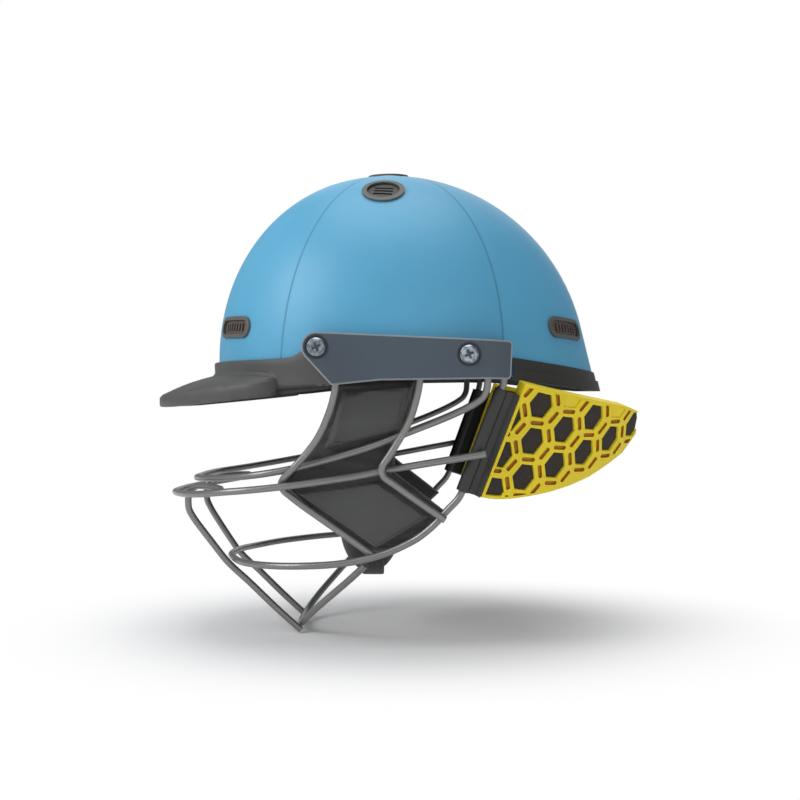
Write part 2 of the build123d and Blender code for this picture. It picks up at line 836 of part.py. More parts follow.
cheek_front_shares = [
    (0.953, -0.238, -0.003, 1),
    (0.946, -0.239, -0.040, 1),
    (0.937, -0.243, -0.072, 1),
    (0.919, -0.252, -0.107, 1),
    (0.899, -0.264, -0.142, 1),
    (0.878, -0.280, -0.177, 1),
    (0.854, -0.297, -0.212, 1),
    (0.830, -0.320, -0.248, 1),
    (0.811, -0.350, -0.284, 1),
    (0.796, -0.385, -0.320, 1),
    (0.787, -0.422, -0.355, 1),
    (0.757, -0.456, -0.384, 1),
    (0.806, -0.472, -0.409, -1),
    (0.796, -0.463, -0.433, -1),
    (0.790, -0.395, -0.482, -1),
    (0.789, -0.232, -0.583, -1),
    (0.787, -0.102, -0.666, -1),
]
cheek_rear_shares = [
    (0.953, 0.213, -0.003, 1),
    (0.947, 0.211, -0.040, 1),
    (0.938, 0.199, -0.072, 1),
    (0.926, 0.178, -0.107, 1),
    (0.912, 0.152, -0.142, 1),
    (0.893, 0.121, -0.177, 1),
    (0.870, 0.076, -0.212, 1),
    (0.858, 0.021, -0.247, 1),
    (0.852, -0.016, -0.283, 1),
    (0.846, -0.042, -0.318, 1),
    (0.841, -0.059, -0.340, 1),
    (0.838, -0.063, -0.358, 1),
    (0.834, -0.052, -0.381, 1),
    (0.830, -0.024, -0.398, 1),
    (0.828, 0.218, -0.471, 1),
    (0.829, 0.455, -0.532, 1),
]
nose_bar_shares = [
    (0.240, -0.420, -1.000, 0),
    (0.245, -0.518, -0.922, 0),
    (0.250, -0.653, -0.805, 0),
    (0.250, -0.707, -0.763, 0),
    (0.260, -0.746, -0.727, 0),
    (0.288, -0.811, -0.647, 0),
    (0.322, -0.873, -0.568, 0),
    (0.341, -0.898, -0.527, 0),
    (0.346, -0.900, -0.490, 0),
    (0.356, -0.895, -0.455, 0),
    (0.413, -0.855, -0.432, 0),
    (0.538, -0.788, -0.428, 0),
    (0.655, -0.727, -0.433, 0),
]
chin_bar_shares = [
    (0.000, -0.431, -0.989, 0),
    (0.115, -0.428, -0.988, 0),
    (0.231, -0.416, -0.972, 0),
    (0.346, -0.366, -0.918, 0),
    (0.500, -0.282, -0.842, 0),
    (0.635, -0.194, -0.765, 0),
    (0.753, -0.127, -0.701, 0),
]


def wire_points(shares):
    """Points of a wire's route on the wearer's left."""
    points = []
    for x, y, z, out in shares:
        reach = cage_reach if y < 0 else bar_head_y
        points.append(Vector(x * cage_half_width + out * weld_pitch, y * reach, z * cage_drop))
    return points


def both_sides(points):
    """A route that starts on the middle line, with its mirror image before it."""
    return [Vector(-point.X, point.Y, point.Z) for point in reversed(points[1:])] + points


def bent_wire(points):
    """A round wire along straight runs that are joined by tangent arcs."""
    radii = []
    for before, corner, after in zip(points, points[1:], points[2:]):
        run_in, run_out = corner - before, after - corner
        half_turn = radians(run_in.get_angle(run_out)) / 2
        radii.append(bend_share * min(run_in.length, run_out.length) / tan(half_turn))
    with BuildPart() as wire:
        with BuildLine() as route:
            FilletPolyline(*points, radius=radii)
        with BuildSketch(Plane(origin=route.line @ 0, z_dir=route.line % 0)):
            Circle(wire_diameter / 2)
        sweep(path=route.line)
    return wire.part


bar_foot = Vector(bar_foot_x, bar_foot_y, bar_foot_z)
bar_head = Vector(bar_head_x, bar_head_y, bar_head_z)
finish_node(bent_wire(both_sides(wire_points(visor_upper_shares))), "visor_bar_upper")
finish_node(bent_wire(both_sides(wire_points(visor_lower_shares))), "visor_bar_lower")
bar_top = Vector(bar_top_x, bar_head_y, bar_top_z)
chin_points = wire_points(chin_loop_shares) + [bar_foot, bar_head, bar_top]
finish_node(bent_wire(both_sides(chin_points)), "chin_loop")
finish_node(bent_wire(both_sides(wire_points(chin_bar_shares))), "chin_bar")
finish_pair(bent_wire(wire_points(cheek_front_shares)), "cheek_bar_front")
finish_pair(bent_wire(wire_points(cheek_rear_shares)), "cheek_bar_rear")
finish_pair(bent_wire(wire_points(nose_bar_shares)), "nose_bar")

# Cheek pads: a slab behind the cheek wires with two raised panels between the wires.
# Each row gives the height, then the front and the rear edge of the outer face.
cheek_section_shares = [
    (-0.055, (0.910, -0.232), (0.925, 0.062)),
    (-0.175, (0.862, -0.262), (0.885, 0.036)),
    (-0.258, (0.772, -0.325), (0.804, -0.016)),
    (-0.365, (0.729, -0.397), (0.798, -0.019)),
    (-0.405, (0.712, -0.425), (0.792, 0.037)),
    (-0.518, (0.706, -0.304), (0.784, 0.194)),
    (-0.655, (0.706, -0.110), (0.730, -0.060)),
]
cheek_upper_shares = [(-0.215, -0.070), (0.070, -0.052), (0.012, -0.212), (-0.298, -0.285)]
cheek_lower_shares = [(-0.420, -0.440), (-0.080, -0.395), (0.135, -0.525), (-0.085, -0.645)]


def cheek_section(height, front, rear):
    """One level section of the pad's slab."""
    z = height * cage_drop
    front_x, front_y = front[0] * cage_half_width, front[1] * cage_reach
    rear_x, rear_y = rear[0] * cage_half_width, rear[1] * cage_reach
    corners = [
        (front_x, front_y),
        (rear_x, rear_y),
        (rear_x - cheek_thickness, rear_y),
        (front_x - cheek_thickness, front_y),
    ]
    with BuildSketch(Plane.XY.offset(z)) as section:
        Polygon(*corners, align=None)
    return section.sketch


def raised_panel(shares):
    """A panel with slanted sides, seen in the side view, reaching out to the wires."""
    corners = spread(shares, (0, 0), (cage_reach, cage_drop))
    with BuildPart() as panel:
        with BuildSketch(Plane.YZ):
            Polygon(*corners, align=None)
        extrude(amount=far)
    return panel.part


with BuildPart() as cheek_slab:
    for upper, lower in zip(cheek_section_shares, cheek_section_shares[1:]):
        loft([cheek_section(*upper).face(), cheek_section(*lower).face()], ruled=True)
with BuildPart() as cheek_pad:
    add(cheek_slab.part)
    for shares in (cheek_upper_shares, cheek_lower_shares):
        add(raised_panel(shares) & Pos(cheek_rise, 0, 0) * cheek_slab.part)
finish_pair(cheek_pad.part, "cheek_pad")

# Neck guards, built round the straight rear bar that they turn on
bar_line = (bar_head - bar_foot).normalized()
heading = Vector(-sin(radians(guard_heading)), cos(radians(guard_heading)), 0)
guard_plane = Plane(
    origin=bar_foot,
    x_dir=heading - bar_line * heading.dot(bar_line),
    z_dir=bar_line,
)
guard_outline_shares = [
    (0.000, 0.036),
    (0.433, 0.027),
    (0.911, 0.335),
    (0.978, 0.467),
    (1.000, 0.609),
    (0.992, 0.676),
    (0.000, 1.000),
]
cell_steps = [(0, 0), (0, 1), (0, 2), (1, 0), (1, 1), (2, -1), (2, 0), (3, -1)]
edge_cell_steps = [(-1, 1), (-1, 2), (-1, 3)]
end_cell_steps = [(4, -2)]


def guard_sector(thickness, front, rim):
    """The guard's curved plate, front behind the bar, drawn in by rim all round."""
    first = degrees(front / guard_radius)
    middle = (0, guard_radius)
    with BuildPart() as sector:
        with BuildSketch(guard_plane.offset(-overrun)):
            with BuildLine():
                outer = CenterArc(middle, guard_radius + thickness / 2, first - 90, guard_span)
                inner = CenterArc(middle, guard_radius - thickness / 2, first - 90, guard_span)
                Line(outer @ 0, inner @ 0)
                Line(outer @ 1, inner @ 1)
            make_face()
        extrude(amount=4 * overrun)
        with BuildSketch(Plane.YZ):
            corners = spread(
                guard_outline_shares, (guard_front_y, guard_low_z), (guard_length, guard_height)
            )
            with BuildLine():
                low = ThreePointArc(corners[0], corners[1], corners[2])
                tip = ThreePointArc(corners[2], corners[3], corners[4])
                Polyline(corners[4], corners[5], corners[6], corners[0])
            make_face()
            if rim:
                offset(amount=-rim, mode=Mode.REPLACE)
        extrude(amount=far, mode=Mode.INTERSECT)
    return sector.part


def guard_cells(steps, width, thickness):
    """Six-sided prisms through the guard at these cells, each square to the plate."""
    with BuildPart() as cells:
        for across_steps, down_steps in steps:
            turn_down, turn_across = radians(cell_lean), radians(cell_lean + 60)
            s = cell_first_s + cell_pitch * (
                across_steps * sin(turn_across) + down_steps * sin(turn_down)
            )
            t = cell_first_t - cell_pitch * (
                across_steps * cos(turn_across) + down_steps * cos(turn_down)
            )
            angle = s / guard_radius
            place = Plane(
                origin=(guard_radius * sin(angle), guard_radius * (1 - cos(angle)), t),
                x_dir=(cos(angle), sin(angle), 0),
                z_dir=(sin(angle), -cos(angle), 0),
            )
            with BuildSketch(Plane(guard_plane.location * place.location)):
                RegularPolygon(width / sqrt(3), 6, rotation=cell_lean)
            extrude(amount=thickness, both=True)
    return cells.part


inner_cell_steps = cell_steps + edge_cell_steps
foam_width = cell_width - 2 * foam_gap
foam_thickness = guard_thickness - 2 * foam_sink
foam_start = guard_start + guard_front_rim
cell_room = guard_sector(2 * guard_thickness, foam_start, guard_rim)
with BuildPart() as cell_holes:
    add(guard_cells(inner_cell_steps, cell_width, guard_thickness))
    add(cell_room, mode=Mode.INTERSECT)
with BuildPart() as lattice:
    add(guard_sector(guard_thickness, guard_start, 0))
    add(cell_holes.part, mode=Mode.SUBTRACT)
    add(guard_cells(end_cell_steps, cell_width, guard_thickness), mode=Mode.SUBTRACT)
finish_pair(lattice.part, "neck_guard")
with BuildPart() as end_foam:
    add(guard_sector(foam_thickness, foam_start, 0))
    add(guard_cells(end_cell_steps, foam_width, guard_thickness), mode=Mode.INTERSECT)
with BuildPart() as foam:
    add(guard_sector(foam_thickness, foam_start + foam_gap, guard_rim + foam_gap))
    add(guard_cells(inner_cell_steps, foam_width, guard_thickness), mode=Mode.INTERSECT)
    add(end_foam.part)
finish_pair(foam.part, "guard_foam")

# Clips that snap round the rear bar and carry the guards
clip_bore = wire_diameter / 2 + clip_gap
clip_radius = clip_bore + clip_wall
clip_length = clip_head - clip_foot
clip_end = guard_start - seat_gap
with BuildPart() as clip:
    with BuildSketch(guard_plane.offset(clip_foot)):
        Circle(clip_radius)
        with BuildLine():
            Polyline(
                (0, -clip_radius / 2),
                (clip_end - clip_flange_thickness, -clip_radius / 2),
                (clip_end, -guard_thickness / 2),
                (clip_end, guard_thickness / 2),
                (clip_end - clip_flange_thickness, clip_radius / 2),
                (0, clip_radius / 2),
                close=True,
            )
        make_face()
        Circle(clip_bore, mode=Mode.SUBTRACT)
        with Locations((-clip_radius, clip_radius)):
            Rectangle(2 * clip_radius, clip_mouth, rotation=-45, mode=Mode.SUBTRACT)
    extrude(amount=clip_length)
finish_pair(clip.part, "guard_clip")

# Chin strap: one web from anchor to anchor, with an eye at each end
strap_low = strap_pivot_z - strap_drop
strap_round = cup_radius + strap_cup_gap + strap_thickness / 2
to_corner = (strap_x, strap_low - cup_middle_z)
touch_angle = atan2(to_corner[1], to_corner[0]) - acos(strap_round / hypot(*to_corner))
strap_foot_z = cup_middle_z + strap_round / sin(touch_angle)
strap_plane = Plane.XZ.offset(-strap_pivot_y)
with BuildPart() as strap:
    with BuildSketch(strap_plane):
        with BuildLine() as strap_route:
            FilletPolyline(
                (-strap_x, strap_pivot_z + strap_tab),
                (-strap_x, strap_low),
                (0, strap_foot_z),
                (strap_x, strap_low),
                (strap_x, strap_pivot_z + strap_tab),
                radius=[strap_bend_radius, strap_round, strap_bend_radius],
            )
        trace(strap_route.edges(), line_width=strap_thickness)
    extrude(amount=strap_width / 2, both=True)
    with BuildSketch(Plane.YZ):
        with Locations((strap_pivot_y, strap_pivot_z)):
            Circle(anchor_diameter / 2 + anchor_gap)
    extrude(amount=far, both=True, mode=Mode.SUBTRACT)
finish_node(strap.part, "chin_strap")

# Chin cup: a soft shell under the chin with ribs along its outside
with BuildPart() as cup:
    Sphere(1)
    scale(by=(cup_radius, cup_half_length, cup_radius))
with BuildPart() as cup_hollow:
    Sphere(1)
    scale(by=(cup_radius - cup_wall, cup_half_length - cup_wall, cup_radius - cup_wall))
cup_place = Pos(0, strap_pivot_y - cup_forward, cup_middle_z)
with BuildPart() as chin_cup:
    add(cup.part.moved(cup_place))
    add(cup_hollow.part.moved(cup_place), mode=Mode.SUBTRACT)
    split(bisect_by=Plane.XY.offset(cup_middle_z), keep=Keep.BOTTOM)
finish_node(chin_cup.part, "chin_cup")

# Sliders that ride on the straight runs of the strap
run_start = Vector(strap_x, strap_pivot_y, strap_low)
run_end = Vector(
    strap_round * cos(touch_angle), strap_pivot_y, cup_middle_z + strap_round * sin(touch_angle)
)
run_line = (run_end - run_start).normalized()
slider_plane = Plane(origin=run_start + run_line * slider_place, x_dir=(0, 1, 0), z_dir=run_line)
with BuildPart() as slider:
    with BuildSketch(slider_plane):
        RectangleRounded(slider_width, slider_depth, slider_depth / 4)
        Rectangle(
            strap_width + 2 * slider_gap, strap_thickness + 2 * slider_gap, mode=Mode.SUBTRACT
        )
    extrude(amount=slider_height / 2, both=True)
finish_pair(slider.part, "strap_slider")

# Anchors: a rivet from the shell through the liner, with a flange and a head
liner_face_x = wall_x(strap_pivot_y, strap_pivot_z, -liner_inner)
rivet_root_x = wall_x(strap_pivot_y, strap_pivot_z, -shell_thickness) - seat_gap
head_x = strap_x - strap_thickness / 2 - anchor_gap - anchor_head_height
with BuildPart() as anchor:
    with BuildSketch(Plane.YZ.offset(head_x)):
        with Locations((strap_pivot_y, strap_pivot_z)):
            Circle(anchor_head_diameter / 2)
    extrude(amount=anchor_head_height)
    with BuildSketch(Plane.YZ.offset(head_x)):
        with Locations((strap_pivot_y, strap_pivot_z)):
            Circle(anchor_diameter / 2)
    extrude(amount=rivet_root_x - head_x)
    with BuildSketch(Plane.YZ.offset(strap_x + strap_thickness / 2 + anchor_gap)):
        with Locations((strap_pivot_y, strap_pivot_z)):
            Circle(anchor_flange_diameter / 2)
    extrude(amount=liner_face_x - strap_x - strap_thickness - anchor_gap)
    add(dome(-liner_outer - liner_thickness - seat_gap), mode=Mode.INTERSECT)
finish_pair(anchor.part, "strap_anchor")
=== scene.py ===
"""Batting helmet with a wire face grille, padded cheeks and hinged neck guards.

The CAD frame is loaded at the top and every piece is built over it, in metres. The
wearer looks along -Y, the wearer's left is +X and +Z is up.
"""

from functools import reduce
from math import atan2, cos, hypot, pi, radians, sin, sqrt

import bpy
from bpy.props import FloatProperty, FloatVectorProperty, PointerProperty
from bpy.types import Operator, Panel, PropertyGroup
from mathutils import Matrix, Vector


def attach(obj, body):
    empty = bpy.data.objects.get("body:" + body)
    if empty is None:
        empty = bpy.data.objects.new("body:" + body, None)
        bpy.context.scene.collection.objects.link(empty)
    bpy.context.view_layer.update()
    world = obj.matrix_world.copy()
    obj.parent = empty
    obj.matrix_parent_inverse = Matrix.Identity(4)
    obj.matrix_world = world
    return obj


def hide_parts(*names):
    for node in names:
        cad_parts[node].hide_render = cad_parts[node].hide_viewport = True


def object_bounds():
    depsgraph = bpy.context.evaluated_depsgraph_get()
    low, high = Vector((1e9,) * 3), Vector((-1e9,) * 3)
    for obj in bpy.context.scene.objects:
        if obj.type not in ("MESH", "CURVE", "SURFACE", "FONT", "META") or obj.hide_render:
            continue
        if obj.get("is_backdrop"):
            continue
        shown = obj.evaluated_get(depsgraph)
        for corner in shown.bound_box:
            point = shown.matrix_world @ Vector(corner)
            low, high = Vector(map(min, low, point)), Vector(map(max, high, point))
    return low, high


bl_info = {
    "name": "Batting Helmet",
    "version": (1, 0, 0),
    "blender": (4, 5, 0),
    "location": "3D View > Sidebar > Helmet",
    "description": "Dresses a batting helmet: shell, peak, grille, pads, neck guards and strap",
    "category": "Object",
}

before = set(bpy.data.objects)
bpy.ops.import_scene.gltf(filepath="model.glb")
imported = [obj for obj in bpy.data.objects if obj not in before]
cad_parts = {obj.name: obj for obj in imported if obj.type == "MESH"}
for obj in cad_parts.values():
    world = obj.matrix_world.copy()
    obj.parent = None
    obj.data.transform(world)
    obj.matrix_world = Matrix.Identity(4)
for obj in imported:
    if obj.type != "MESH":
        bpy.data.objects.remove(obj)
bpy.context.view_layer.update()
MM = 0.001


def tone(red, green, blue):
    """A screen colour from 0 to 255 as the linear colour that a shader takes."""
    shares = [value / 255 for value in (red, green, blue)]
    return [s / 12.92 if s <= 0.04045 else ((s + 0.055) / 1.055) ** 2.4 for s in shares]


def colour_property(name, text, *screen):
    """A colour that the sidebar shows, given as a screen colour."""
    return FloatVectorProperty(
        name=name,
        description=text,
        subtype="COLOR",
        size=3,
        min=0,
        max=1,
        default=tone(*screen),
    )


def length_property(name, text, millimetres):
    """A length that the sidebar shows, given in millimetres."""
    return FloatProperty(
        name=name, description=text, unit="LENGTH", default=millimetres * MM, precision=4
    )


class HelmetColours(PropertyGroup):
    """Colours of the helmet's finishes."""

    shell: colour_property("Shell", "Paint of the six shell panels", 84, 160, 196)
    peak: colour_property("Peak", "Moulded plastic of the peak and its band", 72, 72, 71)
    trim: colour_property("Rim trim", "Plastic lip round the rear rim", 40, 39, 36)
    plate: colour_property("Side plate", "Plastic of the side plates", 71, 82, 91)
    wire: colour_property("Wire", "Coating of the grille's wires", 132, 132, 130)
    cheek: colour_property("Cheek pad", "Cloth over the cheek pads", 74, 74, 74)
    guard: colour_property("Neck guard", "Moulded elastomer of the neck guards", 233, 208, 18)
    # Painted shade: the guard's yellow shaded orange-brown in its slots
    groove: colour_property("Guard slot", "Floor of the slots in the guard's walls", 186, 130, 16)
    foam: colour_property("Guard foam", "Foam in the guard's cells", 52, 47, 43)
    black: colour_property("Black plastic", "Clips, sliders and anchors", 45, 44, 43)
    vent: colour_property("Vent frame", "Frames and slats of the vents", 84, 84, 80)
    strap: colour_property("Strap", "Woven chin strap", 40, 40, 40)
    lining: colour_property("Lining", "Cloth of the comfort pads", 62, 62, 64)


class HelmetSizes(PropertyGroup):
    """Sizes of the pieces that are built here."""

    seam_width: length_property("Seam width", "Width of the grooves between panels", 1.1)
    mesh_pitch: length_property("Mesh pitch", "Distance between threads in the vents", 1.5)
    cheek_rise: length_property("Cheek rise", "How far the cheek pads' panels stand up", 4.0)
    cell_width: length_property("Cell width", "Width across a foam cell's flats", 16.2)
    slot_width: length_property("Slot width", "Width of the slots in the guard's walls", 2.7)
    slot_depth: length_property("Slot depth", "Depth of the slots in the guard's walls", 1.9)
    weave_pitch: length_property("Weave pitch", "Distance between the strap's ribs", 1.3)


def colours():
    """The helmet's colours as the sidebar holds them."""
    return bpy.context.scene.helmet_colours


def sizes():
    """The helmet's sizes as the sidebar holds them."""
    return bpy.context.scene.helmet_sizes


class Amount:
    """A shader socket that takes part in plain arithmetic."""

    def __init__(self, paint, socket):
        self.paint = paint
        self.socket = socket

    def math(self, operation, *values):
        """A Math node on the given values."""
        return self.paint.add("ShaderNodeMath", {"operation": operation}, values)

    def __add__(self, other):
        return self.math("ADD", self, other)

    def __radd__(self, other):
        return self.math("ADD", other, self)

    def __sub__(self, other):
        return self.math("SUBTRACT", self, other)

    def __rsub__(self, other):
        return self.math("SUBTRACT", other, self)

    def __mul__(self, other):
        return self.math("MULTIPLY", self, other)

    def __rmul__(self, other):
        return self.math("MULTIPLY", other, self)

    def __truediv__(self, other):
        return self.math("DIVIDE", self, other)

    def __abs__(self):
        return self.math("ABSOLUTE", self)

    def least(self, other):
        """The smaller of this and another amount."""
        return self.math("MINIMUM", self, other)

    def most(self, other):
        """The larger of this and another amount."""
        return self.math("MAXIMUM", self, other)

    def root(self):
        """The square root of this amount."""
        return self.math("SQRT", self)

    def over(self, edge):
        """1 where this is above the edge, else 0."""
        return self.math("GREATER_THAN", self, edge)

    def wave(self, pitch):
        """A wave from 0 to 1 that repeats each pitch."""
        return self.math("SINE", self * (2 * pi / pitch)) * 0.5 + 0.5

    def fade(self, low, high):
        """0 below low, 1 above high and smooth between them."""
        settings = {"interpolation_type": "SMOOTHSTEP"}
        return self.paint.add("ShaderNodeMapRange", settings, (self, low, high, 0.0, 1.0))


class Paint:
    """One procedural material, put together from shader nodes."""

    def __init__(self, name):
        self.material = bpy.data.materials.new(name)
        self.material.use_nodes = True
        self.tree = self.material.node_tree
        self.shader = self.tree.nodes["Principled BSDF"]

    def feed(self, socket, value):
        """Set a socket to a value, or link it to another node."""
        if isinstance(value, Amount):
            self.tree.links.new(value.socket, socket)
        elif value is not None:
            if hasattr(value, "__len__") and len(value) == 3 and socket.type == "RGBA":
                value = [*value, 1.0]
            socket.default_value = value

    def add(self, kind, settings, values, out=0):
        """A node of one kind: first its settings, then its sockets by order or by name."""
        node = self.tree.nodes.new(kind)
        for name, value in settings.items():
            setattr(node, name, value)
        pairs = values.items() if isinstance(values, dict) else enumerate(values)
        for key, value in pairs:
            self.feed(node.inputs[key], value)
        return Amount(self, node.outputs[out])

    def place(self):
        """The point on the object, as a vector."""
        return self.add("ShaderNodeTexCoord", {}, (), out="Object")

    def axes(self, vector=None):
        """The three coordinates of a point on the object."""
        split = self.tree.nodes.new("ShaderNodeSeparateXYZ")
        self.feed(split.inputs[0], vector or self.place())
        return [Amount(self, output) for output in split.outputs]

    def noise(self, scale, detail=2.0, vector=None):
        """Soft noise from 0 to 1."""
        values = {"Vector": vector or self.place(), "Scale": scale, "Detail": detail}
        return self.add("ShaderNodeTexNoise", {}, values)

    def cells(self, scale):
        """Distance to the nearest cell centre."""
        values = {"Vector": self.place(), "Scale": scale}
        return self.add("ShaderNodeTexVoronoi", {}, values)

    def mix(self, share, first, second):
        """A colour between two others."""
        settings = {"data_type": "RGBA"}
        return self.add("ShaderNodeMix", settings, {0: share, 6: first, 7: second}, out=2)

    def relief(self, height, depth, strength=1.0):
        """Bumps in the surface, depth metres high where height is 1."""
        values = {"Height": height, "Distance": depth, "Strength": strength}
        bump = self.add("ShaderNodeBump", {}, values)
        self.feed(self.shader.inputs["Normal"], bump)

    def finish(self, colour, roughness, **rest):
        """Feed the shader's main sockets."""
        self.feed(self.shader.inputs["Base Color"], colour)
        self.feed(self.shader.inputs["Roughness"], roughness)
        for name, value in rest.items():
            self.feed(self.shader.inputs[name.replace("_", " ")], value)
        return self.material


def shade(colour, factor):
    """A colour made lighter or darker by a plain factor."""
    return [min(1.0, channel * factor) for channel in colour]


# The shell's form: two half ellipsoids, leant about the X axis
SHELL_CENTRE = Vector((0, -3.6, 0)) * MM
SHELL_BACK = Vector((0, 0.9711, 0.2385))
SHELL_TOP = Vector((0, -0.2385, 0.9711))
HALF_WIDTH, FRONT, REAR, HEIGHT = 104 * MM, 118.4 * MM, 134.8 * MM, 136.2 * MM
PAINT_DEPTH = 0.7 * MM
PAD_DEPTH = 17.2 * MM

# The seams meet at the crown vent, whose axis leans a little forward
SEAM_CENTRE = Vector((0, -8, 10)) * MM
SEAM_TILT = radians(3.4)
SEAM_FRONT, SEAM_REAR = 116 * MM, 139 * MM
SEAM_TURNS = (32, -34, 90)

# The neck guard's foot on the rear bar, the bar's line, the way back along the guard, the
# radius it is bent to and half its thickness and its plugs', with the stretch that bends
GUARD_FOOT = Vector((86.8, 39.0, -79.8)) * MM
GUARD_UP = Vector((12.2, 26.4, 71.5)).normalized()
GUARD_IN = GUARD_UP.cross(Vector((-sin(radians(12)), cos(radians(12)), 0))).normalized()
GUARD_BACK = GUARD_IN.cross(GUARD_UP)
GUARD_RADIUS = 187 * MM
GUARD_HALF, PLUG_HALF = 5 * MM, 3.6 * MM
BEND_START, BEND_END = 14 * MM, 116 * MM

# Its honeycomb: the rim that each kind of hollow keeps to the outline, the cells' lean, the
# first cell's middle and the steps to the next ones, then the cells counted in those steps
CELL_RIM, EDGE_RIM, POCKET_RIM, SLOT_RIM = 3 * MM, 2.2 * MM, 1.6 * MM, 1.7 * MM
CELL_LEAN = radians(6)
FIRST_CELL = Vector((26.45, 72.1)) * MM
CELL_ACROSS = Vector((22.4, -11.1)) * MM
CELL_DOWN = Vector((3.6, -23.6)) * MM
CELL_STRETCH = Vector((0.85, 1.04))
CELLS = ((0, 0), (0, 1), (0, 2), (1, 0), (1, 1), (2, -1), (2, 0), (3, -1))
EDGE_CELLS = ((-0.92, 1), (-0.92, 2), (-0.92, 3))
END_CELL = (4, -2)
POCKETS = ((1, -1), (3, -2))
NEIGHBOURS = ((1, 0), (0, 1), (1, -1), (-1, 0), (0, -1), (-1, 1))
# The guard's outline, back from the bar and up along it, in millimetres
GUARD_OUTLINE = (
    (11, 5.5),
    (16, 5.9),
    (23, 7.2),
    (29.9, 9.2),
    (42.1, 13.7),
    (55.6, 19.3),
    (69.7, 26.1),
    (84.3, 34.5),
    (99.1, 45.8),
    (109.5, 54.4),
    (114.2, 63.5),
    (116.8, 68.5),
    (112.6, 79.7),
    (108.5, 84.1),
    (96.2, 85.3),
    (75.5, 84.8),
    (52.4, 83.8),
    (32, 82.6),
    (11, 81.4),
)

# The side plate's outer face, the middle and the radius of its bent tail, and its screws:
# along the helmet and up, in millimetres
PLATE_FACE, BEND_ACROSS, BEND_ALONG, BEND_RADIUS = 112 * MM, 66 * MM, 50 * MM, 46 * MM
SCREWS = ((-48.5, 13.3), (43.3, 8.9))

# The peak in millimetres: how far round it goes, the band's two faces and how soon the bill
# swells out of it, the bill's ends, the round of its front and its half width along its sides
PEAK_TURN = radians(71.0)
BAND_GAP, BAND_PROUD, BILL_BLEND = 0.2, 3.3, 6.5
BILL_TIP, BILL_REAR = -164.4, -71.5
BILL_ROUND, BILL_ROUND_END = 85.5, -128
BILL_SIDES = (
    (-128, 70),
    (-116, 79.5),
    (-104, 87),
    (-92, 91.5),
    (-85, 92.5),
    (-79, 91),
    (-71, 84),
)
# Heights by the distance along the helmet: the band's top, its low edge and its lip, the
# bill's seat on the band, the crease round its top and its low edge
PEAK_TOP = (
    (-127, 6.2),
    (-80, 6.8),
    (-71, 7.2),
    (-67.5, 7.6),
    (-65, 8.2),
    (-62.5, 9.4),
    (-60, 11.0),
    (-58, 12.0),
    (-56, 12.2),
    (-52, 7.5),
    (-40, 7.2),
)
PEAK_LOW = ((-127, -12.4), (-100, -12.4), (-74, -12.0), (-40, -9.8))
PEAK_LIP = ((-127, -13.5), (-110, -14.5), (-95, -15.6), (-74, -15.2), (-40, -11.4))
BILL_SEAT = ((-127, -2.3), (-107, -1.7), (-85, -2.9), (-78, -4.3), (-73, -6.0))
BILL_CREASE = ((-164, -16.3), (-150, -15.7), (-120, -11.0), (-95, -8.2), (-73, -6.0))
BILL_BASE = ((-164, -24.0), (-150, -23.4), (-120, -20.4), (-95, -17.8), (-72, -15.4))

# The cheek pad's rows: height, then the front edge and the rear edge, each across and along,
# half its thickness and the outlines of its two raised panels, along and up
CHEEK_ROWS = (
    (-7.0, 95.2, -37.5, 96.8, 11.0),
    (-30.6, 89.7, -43.5, 92.0, 6.5),
    (-45.2, 80.3, -54.0, 83.6, -1.5),
    (-63.9, 75.8, -67.5, 83.0, -1.5),
    (-70.9, 74.0, -75.5, 82.4, 7.0),
    (-90.65, 73.4, -54.0, 81.5, 32.5),
    (-104.0, 73.4, -36.5, 78.5, 17.5),
    (-116.0, 73.4, -20.0, 75.9, -8.0),
)
CHEEK_HALF = 6
CHEEK_PANELS = (
    ((-46.2, -49.9), (1.9, -37.1), (10.9, -9.1), (-33.3, -12.3)),
    ((-65.1, -77), (-13.2, -112.9), (20.9, -91.9), (-12.4, -69.1)),
)


def seam_distance(paint):
    """Distance to the nearest seam between two of the shell's panels."""
    x, y, z = paint.axes()
    y, z = y - SEAM_CENTRE.y, z - SEAM_CENTRE.z
    along = y * cos(SEAM_TILT) - z * sin(SEAM_TILT)
    across = abs(x)
    reach = along.over(0.0) * (SEAM_REAR - SEAM_FRONT) + SEAM_FRONT
    stretched = along / reach * HALF_WIDTH
    gaps = [
        abs(across * sin(radians(turn)) - stretched * cos(radians(turn))) for turn in SEAM_TURNS
    ]
    return reduce(Amount.least, gaps)


def inner_side_mask(paint):
    """1 on the shell's inner side, 0 on its painted outer face."""
    x, y, z = paint.axes()
    y, z = y - SHELL_CENTRE.y, z - SHELL_CENTRE.z
    back = y * SHELL_BACK.y + z * SHELL_BACK.z
    up = (y * SHELL_TOP.y + z * SHELL_TOP.z).most(0.0)
    reach = back.over(0.0) * (REAR - FRONT) + (FRONT - PAINT_DEPTH)
    across, along = x / (HALF_WIDTH - PAINT_DEPTH), back / reach
    height = up / (HEIGHT - PAINT_DEPTH)
    return 1.0 - (across * across + along * along + height * height).over(1.0)


